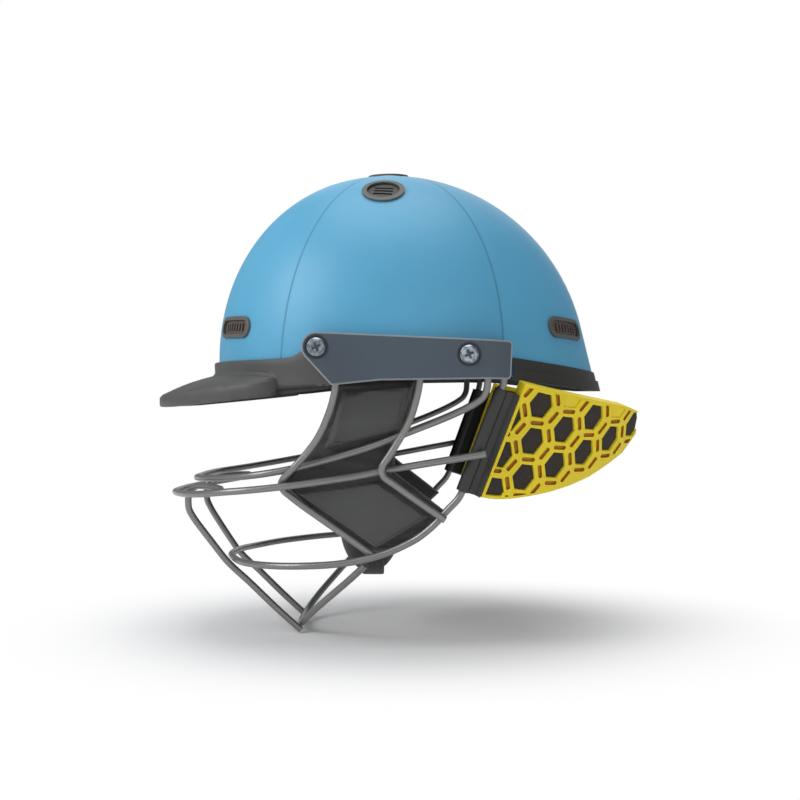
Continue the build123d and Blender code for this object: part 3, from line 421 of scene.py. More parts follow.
def shell_paint():
    """Satin paint with grooves between six panels, painted shade in the grooves and a very fine
    grain.
    """
    paint = Paint("shell_satin_paint")
    seams = seam_distance(paint)
    width = sizes().seam_width
    groove = 1.0 - seams.fade(width * 0.25, width * 0.75)
    swell = seams.fade(0.0, 9 * MM)
    blotch = paint.noise(14.0, 3.0)
    grain = paint.noise(900.0, 2.0)
    base = colours().shell
    tint = paint.mix(blotch.fade(0.35, 0.65), shade(base, 0.97), shade(base, 1.03))
    # Painted shade: the seam grooves are darkened towards a deep blue.
    tint = paint.mix(groove * 0.55, tint, shade(base, 0.45))
    # The shell's inner side is darkened nearly to a dark grey.
    tint = paint.mix(inner_side_mask(paint) * 0.9, tint, tone(34, 36, 38))
    paint.relief(swell * 0.8 - groove * 0.5 + grain * 0.035, 0.5 * MM, 0.55)
    return paint.finish(
        tint,
        0.42 + blotch * 0.08 + groove * 0.2,
        Coat_Weight=0.12,
        Coat_Roughness=0.35,
        Specular_IOR_Level=0.35,
    )


def moulded_paint(name, base, grain=700.0, rough=0.5, depth=0.06, wear=0.12):
    """Moulded plastic with a fine spark-eroded grain and faint handling marks."""
    paint = Paint(name)
    fine = paint.noise(grain * 2.2, 3.0)
    pits = paint.cells(grain)
    broad = paint.noise(22.0, 4.0)
    tint = paint.mix(broad.fade(0.3, 0.7), shade(base, 1 - wear), shade(base, 1 + wear))
    tint = paint.mix(fine.fade(0.45, 0.75) * 0.25, tint, shade(base, 1.35))
    paint.relief(fine * 0.6 + pits * 0.5, depth * MM, 0.6)
    return paint.finish(tint, rough + broad * 0.12 - fine * 0.06)


def wire_paint():
    """Grey coated steel: satin, slightly orange-peeled, worn where hands rub it."""
    paint = Paint("grille_wire_coating")
    base = colours().wire
    peel = paint.noise(320.0, 2.0)
    worn = paint.noise(36.0, 4.0).fade(0.5, 0.78)
    tint = paint.mix(worn * 0.5, base, shade(base, 1.3))
    tint = paint.mix(peel.fade(0.4, 0.8) * 0.2, tint, shade(base, 0.8))
    paint.relief(peel, 0.08 * MM, 0.5)
    return paint.finish(tint, 0.3 + worn * 0.12 + peel * 0.05, Metallic=0.55)


def steel_paint():
    """Plated steel with fine scratches along one way."""
    paint = Paint("bracket_steel")
    base = tone(120, 120, 122)
    x, y, z = paint.axes()
    stretch = paint.add("ShaderNodeCombineXYZ", {}, (x * 60.0, y * 60.0, z * 1400.0))
    scratch = paint.noise(1.0, 4.0, stretch)
    tint = paint.mix(scratch.fade(0.3, 0.7), shade(base, 0.82), shade(base, 1.1))
    paint.relief(scratch, 0.03 * MM, 0.4)
    return paint.finish(tint, 0.32 + scratch * 0.12, Metallic=1.0)


def screw_paint():
    """Polished steel screw heads with a crossed hollow, darkened by painted shade, and a ring of
    painted shade round each head.
    """
    paint = Paint("screw_steel")
    x, y, z = paint.axes()
    marks, rim_shades = [], []
    for along, high in SCREWS:
        run, rise = y - along * MM, z - high * MM
        turned, crossed = run * 0.91 + rise * 0.42, rise * 0.91 - run * 0.42
        reach = (run * run + rise * rise).root()
        bars = abs(turned).least(abs(crossed)) + abs(turned).most(abs(crossed)) * 0.12
        mark = (1.0 - bars.fade(0.75 * MM, 1.15 * MM)) * (1.0 - reach.fade(2.6 * MM, 3.1 * MM))
        marks.append(mark)
        # A ring of painted shade round the head's edge, where it sits sunk in the plate
        rim_shades.append(1.0 - abs(reach - 4.9 * MM).fade(0.15 * MM, 0.45 * MM))
    recess_shade, countersink_shade = reduce(Amount.most, marks), reduce(Amount.most, rim_shades)
    smear = paint.noise(420.0, 4.0)
    tint = paint.mix(smear.fade(0.35, 0.65), tone(120, 130, 141), tone(186, 193, 200))
    # Painted shade in the crossed hollow and in the ring round the head
    tint = paint.mix(recess_shade * 0.8, tint, tone(44, 52, 62))
    tint = paint.mix(countersink_shade * 0.45, tint, tone(70, 78, 88))
    paint.relief(smear * 0.3 - recess_shade, 0.3 * MM, 0.7)
    return paint.finish(tint, 0.24 + smear * 0.12 + recess_shade * 0.3, Metallic=1.0 - recess_shade * 0.6)


def cloth_paint(name, base, pitch=0.9, depth=0.12, recess_shade=0.0):
    """Close-knit cloth: fine crossing ribs, lint and slightly uneven dye, with painted shade in
    its hollows when a strength for it is given.
    """
    paint = Paint(name)
    x, y, z = paint.axes()
    rows = z.wave(pitch * MM) * (y + x * 0.4).wave(pitch * MM)
    broad = paint.noise(30.0, 4.0)
    lint = paint.noise(1600.0, 2.0)
    tint = paint.mix(rows * 0.35, base, shade(base, 0.72))
    tint = paint.mix(broad.fade(0.3, 0.7) * 0.5, tint, shade(base, 1.12))
    tint = paint.mix(lint.fade(0.6, 0.8) * 0.3, tint, shade(base, 1.6))
    # Painted shade in the hollows round the raised panels, read from the pad's colour attribute
    if recess_shade:
        deep = paint.add("ShaderNodeAttribute", {"attribute_name": "recess_shade"}, (), out="Fac")
        tint = paint.mix(deep * recess_shade, tint, shade(base, 0.25))
    paint.relief(rows * 0.8 + lint * 0.4, depth * MM, 0.5)
    return paint.finish(tint, 0.82, Sheen_Weight=0.25, Sheen_Roughness=0.5)


def foam_paint(name, base, scale=900.0):
    """Closed-cell foam: small open pores in a matt skin."""
    paint = Paint(name)
    pores = paint.cells(scale)
    broad = paint.noise(40.0, 3.0)
    tint = paint.mix(pores.fade(0.2, 0.6), shade(base, 0.7), shade(base, 1.1))
    tint = paint.mix(broad.fade(0.3, 0.7) * 0.4, tint, shade(base, 1.25))
    paint.relief(pores, 0.2 * MM, 0.6)
    return paint.finish(tint, 0.85 + broad * 0.1)


def strap_paint():
    """Woven webbing: ribs along the strap with a crossing weft, on the strap's own map."""
    paint = Paint("strap_webbing")
    across, along, _ = paint.axes(paint.add("ShaderNodeUVMap", {"uv_map": "strap"}, ()))
    pitch = sizes().weave_pitch
    ribs = across.wave(pitch)
    weft = (along + across * 0.5).wave(pitch * 0.8)
    weave = ribs * 0.6 + weft * 0.4
    fuzz = paint.noise(1500.0, 2.0)
    base = colours().strap
    tint = paint.mix(weave, shade(base, 0.6), shade(base, 1.5))
    paint.relief(weave + fuzz * 0.3, 0.25 * MM, 0.7)
    return paint.finish(tint, 0.8, Sheen_Weight=0.2)


def dress(material, *names):
    """Give CAD nodes a material."""
    for name in names:
        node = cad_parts[name]
        node.data.materials.clear()
        node.data.materials.append(material)


def pair(name):
    """The names of a left and a right node."""
    return f"{name}_left", f"{name}_right"


def deselect():
    """Leave edit mode and select nothing."""
    if bpy.context.object and bpy.context.object.mode != "OBJECT":
        bpy.ops.object.mode_set(mode="OBJECT")
    bpy.ops.object.select_all(action="DESELECT")


def activate(*pieces):
    """Select these objects alone, the first one active."""
    deselect()
    for piece in pieces:
        piece.select_set(True)
    bpy.context.view_layer.objects.active = pieces[0]


def settle(piece, name, material=None, angle=35):
    """Name a piece, put its place in its mesh, smooth it and give it a material."""
    activate(piece)
    bpy.ops.object.transform_apply(location=True, rotation=True, scale=True)
    piece.name = name
    piece.data.name = name
    if material:
        piece.data.materials.clear()
        piece.data.materials.append(material)
    bpy.ops.object.shade_smooth_by_angle(angle=radians(angle))
    return piece


def apply_modifier(piece, kind, **settings):
    """Add one modifier and apply it."""
    activate(piece)
    modifier = piece.modifiers.new(kind.title(), kind)
    for name, value in settings.items():
        setattr(modifier, name, value)
    bpy.ops.object.modifier_apply(modifier=modifier.name)


def cut(piece, cutter):
    """Cut a solid with another one, which then goes."""
    apply_modifier(piece, "BOOLEAN", operation="DIFFERENCE", object=cutter, solver="EXACT")
    bpy.data.objects.remove(cutter)


def mirrored(piece, name):
    """A copy of a left piece for the right side, with its faces turned outward."""
    activate(piece)
    bpy.ops.object.duplicate()
    copy = bpy.context.object
    copy.name = name
    copy.data.transform(Matrix.Scale(-1, 4, (1, 0, 0)))
    bpy.ops.object.mode_set(mode="EDIT")
    bpy.ops.mesh.select_all(action="SELECT")
    bpy.ops.mesh.flip_normals()
    bpy.ops.object.mode_set(mode="OBJECT")
    copy.data.name = name
    return copy


def flat_face(corners):
    """A flat face in the XY plane with these corners, shaped from a filled circle."""
    deselect()
    bpy.ops.mesh.primitive_circle_add(vertices=len(corners), fill_type="NGON")
    piece = bpy.context.object
    area = sum(a[0] * b[1] - b[0] * a[1] for a, b in zip(corners, corners[1:] + corners[:1]))
    ring = piece.data.polygons[0].vertices
    for index, corner in zip(ring, corners if area > 0 else corners[::-1]):
        piece.data.vertices[index].co = (*corner, 0)
    return piece


def thicken(piece, low, high):
    """Raise a flat face into a plate from low to high."""
    activate(piece)
    for vertex in piece.data.vertices:
        vertex.co.z = low
    bpy.ops.object.mode_set(mode="EDIT")
    bpy.ops.mesh.select_all(action="SELECT")
    bpy.ops.mesh.extrude_region_move(TRANSFORM_OT_translate={"value": (0, 0, high - low)})
    bpy.ops.mesh.select_all(action="SELECT")
    bpy.ops.mesh.normals_make_consistent(inside=False)
    bpy.ops.object.mode_set(mode="OBJECT")
    return piece


def within(corners, border, margin):
    """The part of a convex outline that stays this far inside a convex border."""
    corners = [Vector(corner) for corner in corners]
    for start, end in zip(border, border[1:] + border[:1]):
        side = (Vector(end) - Vector(start)).normalized()
        depths = [side.cross(corner - Vector(start)) - margin for corner in corners]
        kept = []
        for index, (here, depth) in enumerate(zip(corners, depths)):
            after = (index + 1) % len(corners)
            if depth >= 0:
                kept.append(here)
            if depth * depths[after] < 0:
                kept.append(here.lerp(corners[after], depth / (depth - depths[after])))
        corners = kept
        if len(corners) < 3:
            return []
    return [tuple(corner) for corner in corners]


def joined(pieces, name):
    """Several pieces as one."""
    activate(*pieces)
    if len(pieces) > 1:
        bpy.ops.object.join()
    piece = bpy.context.object
    piece.name = name
    return piece


def weld(close=None):
    """Weld the active piece's meeting points, close its ends and turn its faces outward."""
    bpy.ops.object.mode_set(mode="EDIT")
    bpy.ops.mesh.select_all(action="SELECT")
    bpy.ops.mesh.remove_doubles(threshold=0.01 * MM)
    if close:
        bpy.ops.mesh.select_all(action="DESELECT")
        bpy.ops.mesh.select_non_manifold()
        close()
    bpy.ops.mesh.select_all(action="SELECT")
    bpy.ops.mesh.normals_make_consistent(inside=False)
    bpy.ops.object.mode_set(mode="OBJECT")


def cushion(name, columns, rows, faces):
    """A closed cushion: faces gives the outer and the inner point for two shares.

    The grid's lines crowd towards the rim, where the two faces meet and are welded.
    """
    halves = []
    for side in (0, 1):
        deselect()
        bpy.ops.mesh.primitive_grid_add(x_subdivisions=columns, y_subdivisions=rows, size=1)
        half = bpy.context.object
        for vertex in half.data.vertices:
            u, v = (0.5 - 0.5 * cos(pi * (share + 0.5)) for share in vertex.co.xy)
            vertex.co = faces(u, v)[side]
        halves.append(half)
    piece = joined(halves, name)
    weld()
    return piece


def roll(distance, radius):
    """Share of the full thickness at a distance from a rolled edge."""
    short = 1 - min(max(distance, 0.0), radius) / radius
    return sqrt(1 - short * short)


def ease(share):
    """0 to 1 with a soft start and end."""
    share = min(max(share, 0.0), 1.0)
    return share * share * (3 - 2 * share)


def depth_inside(point, corners):
    """How far a flat point lies inside a convex outline, below 0 outside it."""
    depths = []
    for start, end in zip(corners, corners[1:] + corners[:1]):
        side = (Vector(end) - Vector(start)).normalized()
        depths.append(side.cross(Vector(point) - Vector(start)))
    return min(depths)


def slice_along_x(piece, step):
    """Cut a flat guard piece into strips across X, so that it can be bent."""
    activate(piece)
    bpy.ops.object.mode_set(mode="EDIT")
    place = BEND_START
    while place < BEND_END:
        bpy.ops.mesh.select_all(action="SELECT")
        bpy.ops.mesh.bisect(plane_co=(place, 0, 0), plane_no=(1, 0, 0))
        place += step
    bpy.ops.object.mode_set(mode="OBJECT")


class HELMET_OT_shell(Operator):
    """Paint the shell, its rim trim and the foam liner inside it"""

    bl_idname = "helmet.shell"
    bl_label = "Shell and Liner"

    def execute(self, context):
        dress(shell_paint(), "shell")
        dress(moulded_paint("rim_trim_plastic", colours().trim, rough=0.45), "rim_trim")
        foam = foam_paint("liner_foam", tone(58, 58, 60), 420.0)
        dress(foam, "liner_front", "liner_rear", "liner_crown", *pair("liner"))
        return {"FINISHED"}


def between(table, place):
    """The value at a place in a table of place and value pairs, straight between them."""
    if place <= table[0][0]:
        return table[0][1]
    for (start, low), (end, high) in zip(table, table[1:]):
        if place <= end:
            return low + (high - low) * (place - start) / (end - start)
    return table[-1][1]


def bill_edge(y):
    """Half width of the bill at a distance along the helmet, in millimetres."""
    if y < BILL_ROUND_END:
        middle = BILL_TIP + BILL_ROUND
        return sqrt(max(BILL_ROUND**2 - (middle - y) ** 2, 0.0))
    return between(BILL_SIDES, y)


def peak_section(turn):
    """The peak's outline on one ray out of the shell, as points from its inner top round."""
    way = Vector((sin(turn), -cos(turn), 0))
    root = Vector((0, SHELL_CENTRE.y, 0))

    def wall(height, proud):
        return shell_wall(root + Vector((0, 0, height * MM)), way, -proud * MM) / MM

    start, flat = wall(-2, BAND_PROUD).xy, way.xy
    top, low, lip = (between(table, start.y) for table in (PEAK_TOP, PEAK_LOW, PEAK_LIP))
    reach, step = 0.0, 0.2
    while True:
        spot = start + flat * (reach + step)
        if not BILL_TIP <= spot.y <= BILL_REAR or abs(spot.x) > bill_edge(spot.y):
            break
        reach += step
    outer = start + flat * reach
    share = ease(reach / BILL_BLEND)
    seat = between(BILL_SEAT, start.y)
    crease = seat + (between(BILL_CREASE, outer.y) - seat) * share
    base = low + (between(BILL_BASE, outer.y) - low) * share
    points = [wall(top, BAND_GAP), wall(top, 2.2), wall(top - 0.35, 2.95)]
    points.append(wall(top - 1.1, BAND_PROUD))
    points += [wall(top + (seat - top) * part, BAND_PROUD) for part in (0.35, 0.6, 0.85)]

    def out(distance, height):
        return Vector((start.x, start.y, 0)) + way * distance + Vector((0, 0, height))

    fillet = 1.6 * share
    slope = (crease - seat) / max(reach, 1.0)
    points += [out(0.0, seat + fillet), out(fillet * 0.35, seat + fillet * 0.35)]
    points.append(out(fillet, seat + slope * fillet))
    far = max(reach - 2.2 * share, fillet)
    camber = 1.2 * share
    for part in (0.2, 0.4, 0.6, 0.8, 1.0):
        place = fillet + (far - fillet) * part
        points.append(out(place, seat + slope * place + camber * sin(pi * part)))
    points += [
        out(reach - 0.8 * share, crease - 0.5 * share),
        out(reach, crease - 1.6 * share),
        out(reach, crease * 0.5 + base * 0.5),
        out(reach, base + 1.4 * share),
        out(reach - 0.5 * share, base + 0.4 * share),
        out(reach - 1.5 * share, base),
    ]
    under = max(reach - 4.5 * share, 0.0)
    points.append(out(max(reach - 4.0 * share, 0.0), base - 0.05))
    points.append(out(under, base + ((crease - base) * 0.65 - 1.5) * share))
    points.append(out(0.5 * share - 1.5, max(low - 0.1, lip)))
    points += [out(-1.7, lip), out(-2.6, lip), out(-3.1, (lip + low) / 2)]
    points += [wall(-2, BAND_GAP), wall(top * 0.6, BAND_GAP)]
    return [point * MM for point in points]


class HELMET_OT_peak(Operator):
    """Build the moulded peak: the band round the brow and the bill in front of it"""

    bl_idname = "helmet.peak"
    bl_label = "Peak"

    def execute(self, context):
        columns = 220
        sections = []
        for index in range(columns + 1):
            share = 2 * index / columns - 1
            sections.append(peak_section(PEAK_TURN * sin(share * pi / 2)))
        count = len(sections[0])
        deselect()
        bpy.ops.mesh.primitive_grid_add(x_subdivisions=columns, y_subdivisions=count, size=1)
        peak = bpy.context.object
        for vertex in peak.data.vertices:
            column = round((vertex.co.x + 0.5) * columns)
            row = round((vertex.co.y + 0.5) * count) % count
            vertex.co = sections[column][row]
        weld(bpy.ops.mesh.fill)
        plastic = moulded_paint("peak_plastic", colours().peak, 900.0, 0.5, 0.08)
        peak = settle(peak, "peak_moulding", plastic, 40)
        peak.data.materials.append(moulded_paint("peak_lip_shade", tone(40, 40, 40), 900.0, 0.6, 0.08))
        # The lip under the band's sides takes the darker material: painted shade under the band
        for face in peak.data.polygons:
            place = face.center / MM
            if place.y > -76 and place.z < between(PEAK_LOW, place.y) - 0.15:
                face.material_index = 1
        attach(peak, "helmet")
        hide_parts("peak")
        return {"FINISHED"}


class HELMET_OT_grille(Operator):
    """Finish the grille's wires and the steel that carries them"""

    bl_idname = "helmet.grille"
    bl_label = "Wire Grille"

    def execute(self, context):
        dress(
            wire_paint(),
            "visor_bar_upper",
            "visor_bar_lower",
            "chin_loop",
            "chin_bar",
            *pair("cheek_bar_front"),
            *pair("cheek_bar_rear"),
            *pair("nose_bar"),
        )
        dress(steel_paint(), *pair("grille_bracket"), "shell_nuts")
        dress(screw_paint(), "plate_screws")
        return {"FINISHED"}


def plate_paint():
    """Fine-grained plastic with a painted highlight along the bevel round the plate's face and
    painted shade round the screw heads.
    """
    paint = Paint("side_plate_plastic")
    x, y, z = paint.axes()
    across = abs(x)
    bend_x, bend_y = across - BEND_ACROSS, y - BEND_ALONG
    round_tail = BEND_RADIUS - (bend_x * bend_x + bend_y * bend_y).root()
    behind = y.over(BEND_ALONG)
    depth = (PLATE_FACE - across) * (1.0 - behind) + round_tail * behind
    # Painted highlight: a pale line along the bevel just below the face
    line = depth.fade(0.15 * MM, 0.35 * MM) * (1.0 - depth.fade(1.0 * MM, 1.4 * MM))
    screws = []
    for along, high in SCREWS:
        run, rise = y - along * MM, z - high * MM
        screws.append((run * run + rise * rise).root())
    # Painted shade on the plate round each screw head
    countersink_shade = 1.0 - reduce(Amount.least, screws).fade(7.3 * MM, 7.7 * MM)
    line = line * (1.0 - countersink_shade)
    base = colours().plate
    fine = paint.noise(2200.0, 3.0)
    broad = paint.noise(16.0, 3.0)
    scuffs = paint.noise(90.0, 5.0).fade(0.6, 0.75)
    tint = paint.mix(broad.fade(0.3, 0.7), shade(base, 0.93), shade(base, 1.05))
    tint = paint.mix(fine.fade(0.45, 0.75) * 0.2, tint, shade(base, 1.3))
    tint = paint.mix(scuffs * 0.15, tint, shade(base, 1.35))
    # Painted highlight on the bevel, then painted shade round the screws
    tint = paint.mix(line * (0.75 + broad * 0.25), tint, tone(158, 163, 167))
    tint = paint.mix(countersink_shade * 0.7, tint, shade(base, 0.3))
    paint.relief(fine * 0.7 + scuffs * 0.2, 0.04 * MM, 0.6)
    return paint.finish(tint, 0.44 + broad * 0.1, Specular_IOR_Level=0.4)


class HELMET_OT_side_plates(Operator):
    """Finish the side plates"""

    bl_idname = "helmet.side_plates"
    bl_label = "Side Plates"

    def execute(self, context):
        dress(plate_paint(), *pair("side_plate"))
        return {"FINISHED"}


def mesh_paint():
    """Fine diagonal mesh: raised brown-grey threads, with painted shade standing for the open
    gaps between them.
    """
    paint = Paint("vent_mesh")
    x, y, z = paint.axes()
    pitch = sizes().mesh_pitch
    run = y + abs(x) * 0.6
    threads = (run + z).wave(pitch).most((run - z).wave(pitch))
    body = threads.fade(0.55, 0.9)
    wear = paint.noise(260.0, 3.0)
    # Painted shade in the gaps between the threads
    tint = paint.mix(body, tone(38, 34, 32), tone(112, 100, 92))
    tint = paint.mix(wear.fade(0.4, 0.7) * 0.4, tint, tone(84, 74, 68))
    paint.relief(body, 0.3 * MM, 0.8)
    return paint.finish(tint, 0.6 + wear * 0.1)


class HELMET_OT_vents(Operator):
    """Finish the vents' frames and the slats in them"""

    bl_idname = "helmet.vents"
    bl_label = "Vents"

    def execute(self, context):
        frames = moulded_paint("vent_frame_plastic", colours().vent, 900.0, 0.5, 0.05)
        dress(frames, "crown_vent_middle", *pair("crown_vent"))
        dress(frames, *pair("front_vent"), *pair("rear_vent"))
        slats = moulded_paint("vent_slat_plastic", shade(colours().vent, 0.4), 900.0, 0.55, 0.05)
        dress(slats, "crown_vent_meshes")
        dress(mesh_paint(), "side_vent_meshes")
        return {"FINISHED"}


def panel_depth(along, height):
    """How far a point lies inside a raised panel of the cheek pad, below 0 outside both."""
    return max(depth_inside((along, height), corners) for corners in CHEEK_PANELS)


def cheek_faces(u, v):
    """The outer and inner point of the left cheek pad at two shares, along and down it."""
    top, bottom = CHEEK_ROWS[0][0], CHEEK_ROWS[-1][0]
    height = top + (bottom - top) * v
    for upper, lower in zip(CHEEK_ROWS, CHEEK_ROWS[1:]):
        if height >= lower[0]:
            break
    share = (upper[0] - height) / (upper[0] - lower[0])
    _, front_x, front_y, rear_x, rear_y = (
        one + (other - one) * share for one, other in zip(upper, lower)
    )
    width = rear_y - front_y
    across, along = front_x + (rear_x - front_x) * u, front_y + width * u
    rim = min(u * width, (1 - u) * width, v * (top - bottom), (1 - v) * (top - bottom))
    half = CHEEK_HALF * roll(rim, 4.5)
    crown = sin(pi * u) * sin(pi * v)
    panel = panel_depth(along, height)
    soft = 2.2
    if height > -45:
        soft += 3.2 * ease((-16 + (height + 12) * 0.3 - along) / 12)
    rise = sizes().cheek_rise / MM * (ease(panel / soft) * 0.85 + ease(panel / 18) * 0.15)
    folds = 0.0
    if panel < 0:
        folds = 0.7 * ease(-panel / 3) * sin(height * 0.55 + along * 0.14)
    groove = 0.8 * ease(1 - abs(rim - 5) / 1.6)
    full = half / CHEEK_HALF
    outer = across - CHEEK_HALF + half + (rise + 0.5 * crown + folds - groove) * full
    inner = across - CHEEK_HALF - half - 0.8 * crown * full
    return Vector((outer, along, height)) * MM, Vector((inner, along, height)) * MM


def shell_wall(point, way, depth):
    """Where a ray from inside the shell meets the layer this deep below its face."""
    near, far = 0.0, 0.25
    for _ in range(26):
        middle = (near + far) / 2
        spot = point + way * middle - SHELL_CENTRE
        back, up = spot.dot(SHELL_BACK), max(spot.dot(SHELL_TOP), 0.0)
        reach = (FRONT if back < 0 else REAR) - depth
        inside = (
            (spot.x / (HALF_WIDTH - depth)) ** 2
            + (back / reach) ** 2
            + (up / (HEIGHT - depth)) ** 2
        )
        near, far = (middle, far) if inside < 1 else (near, middle)
    return point + way * near


def comfort_pad(name, half_width, half_height, corner, aim, channels):
    """A sewn pad on the liner, aimed by its middle, its two ways and the way outward."""
    centre, first_way, second_way, outward = aim

    def faces(u, v):
        x, y = (2 * u - 1) * half_width, (2 * v - 1) * half_height
        over = (abs(x) - half_width + corner, abs(y) - half_height + corner)
        if min(over) > 0:
            pull = max(over) / hypot(*over)
            x = (abs(x) - over[0] * (1 - pull)) * (1 if x > 0 else -1)
            y = (abs(y) - over[1] * (1 - pull)) * (1 if y > 0 else -1)
            rim = corner - max(over)
        else:
            rim = min(half_width - abs(x), half_height - abs(y))
        x *= 1 - 0.03 * (1 - (y / half_height) ** 2)
        y *= 1 - 0.05 * (1 - (x / half_width) ** 2)
        seam = min(abs(x - line) for line in channels)
        sewn = 0.55 * (1 - ease(seam / 4.5)) * ease(rim / 5)
        welt = 0.18 * (1 - ease(abs(rim - 4) / 1.2))
        thick = 5.7 * roll(rim, 5) * (1 - sewn - welt)
        point = centre + first_way * (x * MM) + second_way * (y * MM)
        return tuple(shell_wall(point, outward, PAD_DEPTH + deep * MM) for deep in (0.0, thick))

    return cushion(name, 56, 44, faces)


class HELMET_OT_pads(Operator):
    """Build the cheek pads and the comfort pads"""

    bl_idname = "helmet.pads"
    bl_label = "Pads"

    def execute(self, context):
        cloth = cloth_paint("cheek_cloth", colours().cheek, recess_shade=0.55)
        left = settle(cushion("cheek_cushion_left", 70, 150, cheek_faces), "cheek_cushion_left")
        left.data.materials.append(cloth)
        # Painted shade, kept per point: full off the raised panels, none well inside them
        shadow = left.data.color_attributes.new("recess_shade", "FLOAT_COLOR", "POINT")
        for vertex in left.data.vertices:
            _, along, height = vertex.co / MM
            deep = 1 - ease((panel_depth(along, height) + 0.6) / 2.6)
            shadow.data[vertex.index].color = (deep, deep, deep, 1)
        right = mirrored(left, "cheek_cushion_right")
        for pad, side in ((left, "left"), (right, "right")):
            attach(pad, "helmet")
            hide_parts(f"cheek_pad_{side}")

        lining = cloth_paint("comfort_cloth", colours().lining, 1.2, 0.2)
        x_way, y_way, z_way = Vector((1, 0, 0)), Vector((0, 1, 0)), Vector((0, 0, 1))
        middle = 25.5 * MM
        thirds = (-21, 0, 21)
        crown = SHELL_CENTRE + SHELL_TOP * (40 * MM)
        side = Vector((0, 30 * MM, middle))
        # Each pad's name, its half sizes and corner, its channels, its middle, the two ways
        # along it and the way out of the head
        pads = (
            ("brow", (42, 16.5, 8), thirds, Vector((0, -10 * MM, middle)), x_way, z_way, -y_way),
            ("nape", (42, 16.5, 8), thirds, Vector((0, 20 * MM, middle)), x_way, z_way, y_way),
            ("crown", (38, 38, 38), (-19, 19), crown, x_way, SHELL_BACK, SHELL_TOP),
            ("temple", (28, 16.5, 8), (-9.5, 9.5), side, y_way, z_way, x_way),
        )
        for kind, form, channels, *aim in pads:
            end = "_left" if kind == "temple" else ""
            name = f"{kind}_cushion{end}"
            pad = settle(comfort_pad(name, *form, aim, channels), name, lining)
            finished = [(pad, end)]
            if end:
                finished.append((mirrored(pad, f"{kind}_cushion_right"), "_right"))
            for piece, end in finished:
                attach(piece, "helmet")
                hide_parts(f"{kind}_pad{end}")
        return {"FINISHED"}


def cell_middle(across, down):
    """The middle of a cell, counted in steps across and down the honeycomb."""
    return FIRST_CELL + CELL_ACROSS * across + CELL_DOWN * down


def cell_corners(step, width):
    """The corners of a six-sided cell of this width, a little taller than wide."""
    reach = width / sqrt(3)
    corners = []
    for index in range(6):
        turn = CELL_LEAN + pi / 3 * index
        corner = Vector((cos(turn) * CELL_STRETCH.x, sin(turn) * CELL_STRETCH.y)) * reach
        corners.append(cell_middle(*step) + corner)
    return corners


def slot_outlines(border):
    """The slots in the walls between neighbouring cells, kept inside the border."""
    length, width = 9.0 * MM, sizes().slot_width
    side, end, nook = length / 2, width / 2, 0.8 * MM
    quarter = [Vector((side, end - nook)), Vector((side - nook, end))]
    box = quarter + [Vector((-point.x, point.y)) for point in quarter[::-1]]
    box += [-point for point in box]
    places, slots = set(), []
    for cell in (*CELLS, *EDGE_CELLS, END_CELL):
        across, down = (round(share) for share in cell)
        for step in NEIGHBOURS:
            place = (2 * across + step[0], 2 * down + step[1])
            if place in places:
                continue
            places.add(place)
            line = cell_middle(*step) - FIRST_CELL
            line = Vector((line.x / CELL_STRETCH.x, line.y))
            turn = Matrix.Rotation(atan2(line.y, line.x) + pi / 2, 2)
            middle = cell_middle(place[0] / 2, place[1] / 2)
            kept = within([middle + turn @ point for point in box], border, SLOT_RIM)
            if kept and max((Vector(one) - Vector(kept[0])).length for one in kept) > 2.0 * MM:
                slots.append(kept)
    return slots


def wrap_round_neck(piece):
    """Bend a flat piece, drawn along and up the guard, onto the guard's curve."""
    for vertex in piece.data.vertices:
        along, up, out = vertex.co
        turn, reach = along / GUARD_RADIUS, GUARD_RADIUS + out
        vertex.co = (
            GUARD_FOOT
            + GUARD_BACK * (reach * sin(turn))
            + GUARD_IN * (GUARD_RADIUS - reach * cos(turn))
            + GUARD_UP * up
        )


def guard_moulding(outline):
    """The left guard's flat moulding with its cells, slots and pockets cut."""
    moulding = thicken(flat_face(outline), -GUARD_HALF, GUARD_HALF)
    cell = sizes().cell_width
    holes = [within(cell_corners(step, cell), outline, CELL_RIM) for step in CELLS]
    holes += [within(cell_corners(step, cell), outline, EDGE_RIM) for step in EDGE_CELLS]
    holes.append(cell_corners(END_CELL, cell))
    cutters = [thicken(flat_face(corners), -9 * MM, 9 * MM) for corners in holes]
    cut(moulding, joined(cutters, "cell_cutters"))
    apply_modifier(
        moulding, "BEVEL", width=0.45 * MM, segments=2, limit_method="ANGLE", angle_limit=0.6
    )
    deep = sizes().slot_depth
    pockets = [within(cell_corners(step, 1.1 * cell), outline, POCKET_RIM) for step in POCKETS]
    hollows = [(corners, 0.7 * MM) for corners in pockets]
    hollows += [(corners, deep) for corners in slot_outlines(outline)]
    blocks = []
    for corners, depth in hollows:
        for low, high in ((GUARD_HALF - depth, 8 * MM), (-8 * MM, depth - GUARD_HALF)):
            blocks.append(thicken(flat_face(corners), low, high))
    cut(moulding, joined(blocks, "slot_cutters"))
    # The slots' floor and walls take the second material, painted shade in the slots
    for face in moulding.data.polygons:
        height, lean = abs(face.center.z), abs(face.normal.z)
        floor = lean > 0.9 and abs(height - GUARD_HALF + deep) < 0.1 * MM
        wall = lean < 0.1 and GUARD_HALF - deep < height < 4.6 * MM
        face.material_index = 1 if floor or wall else 0
    return moulding


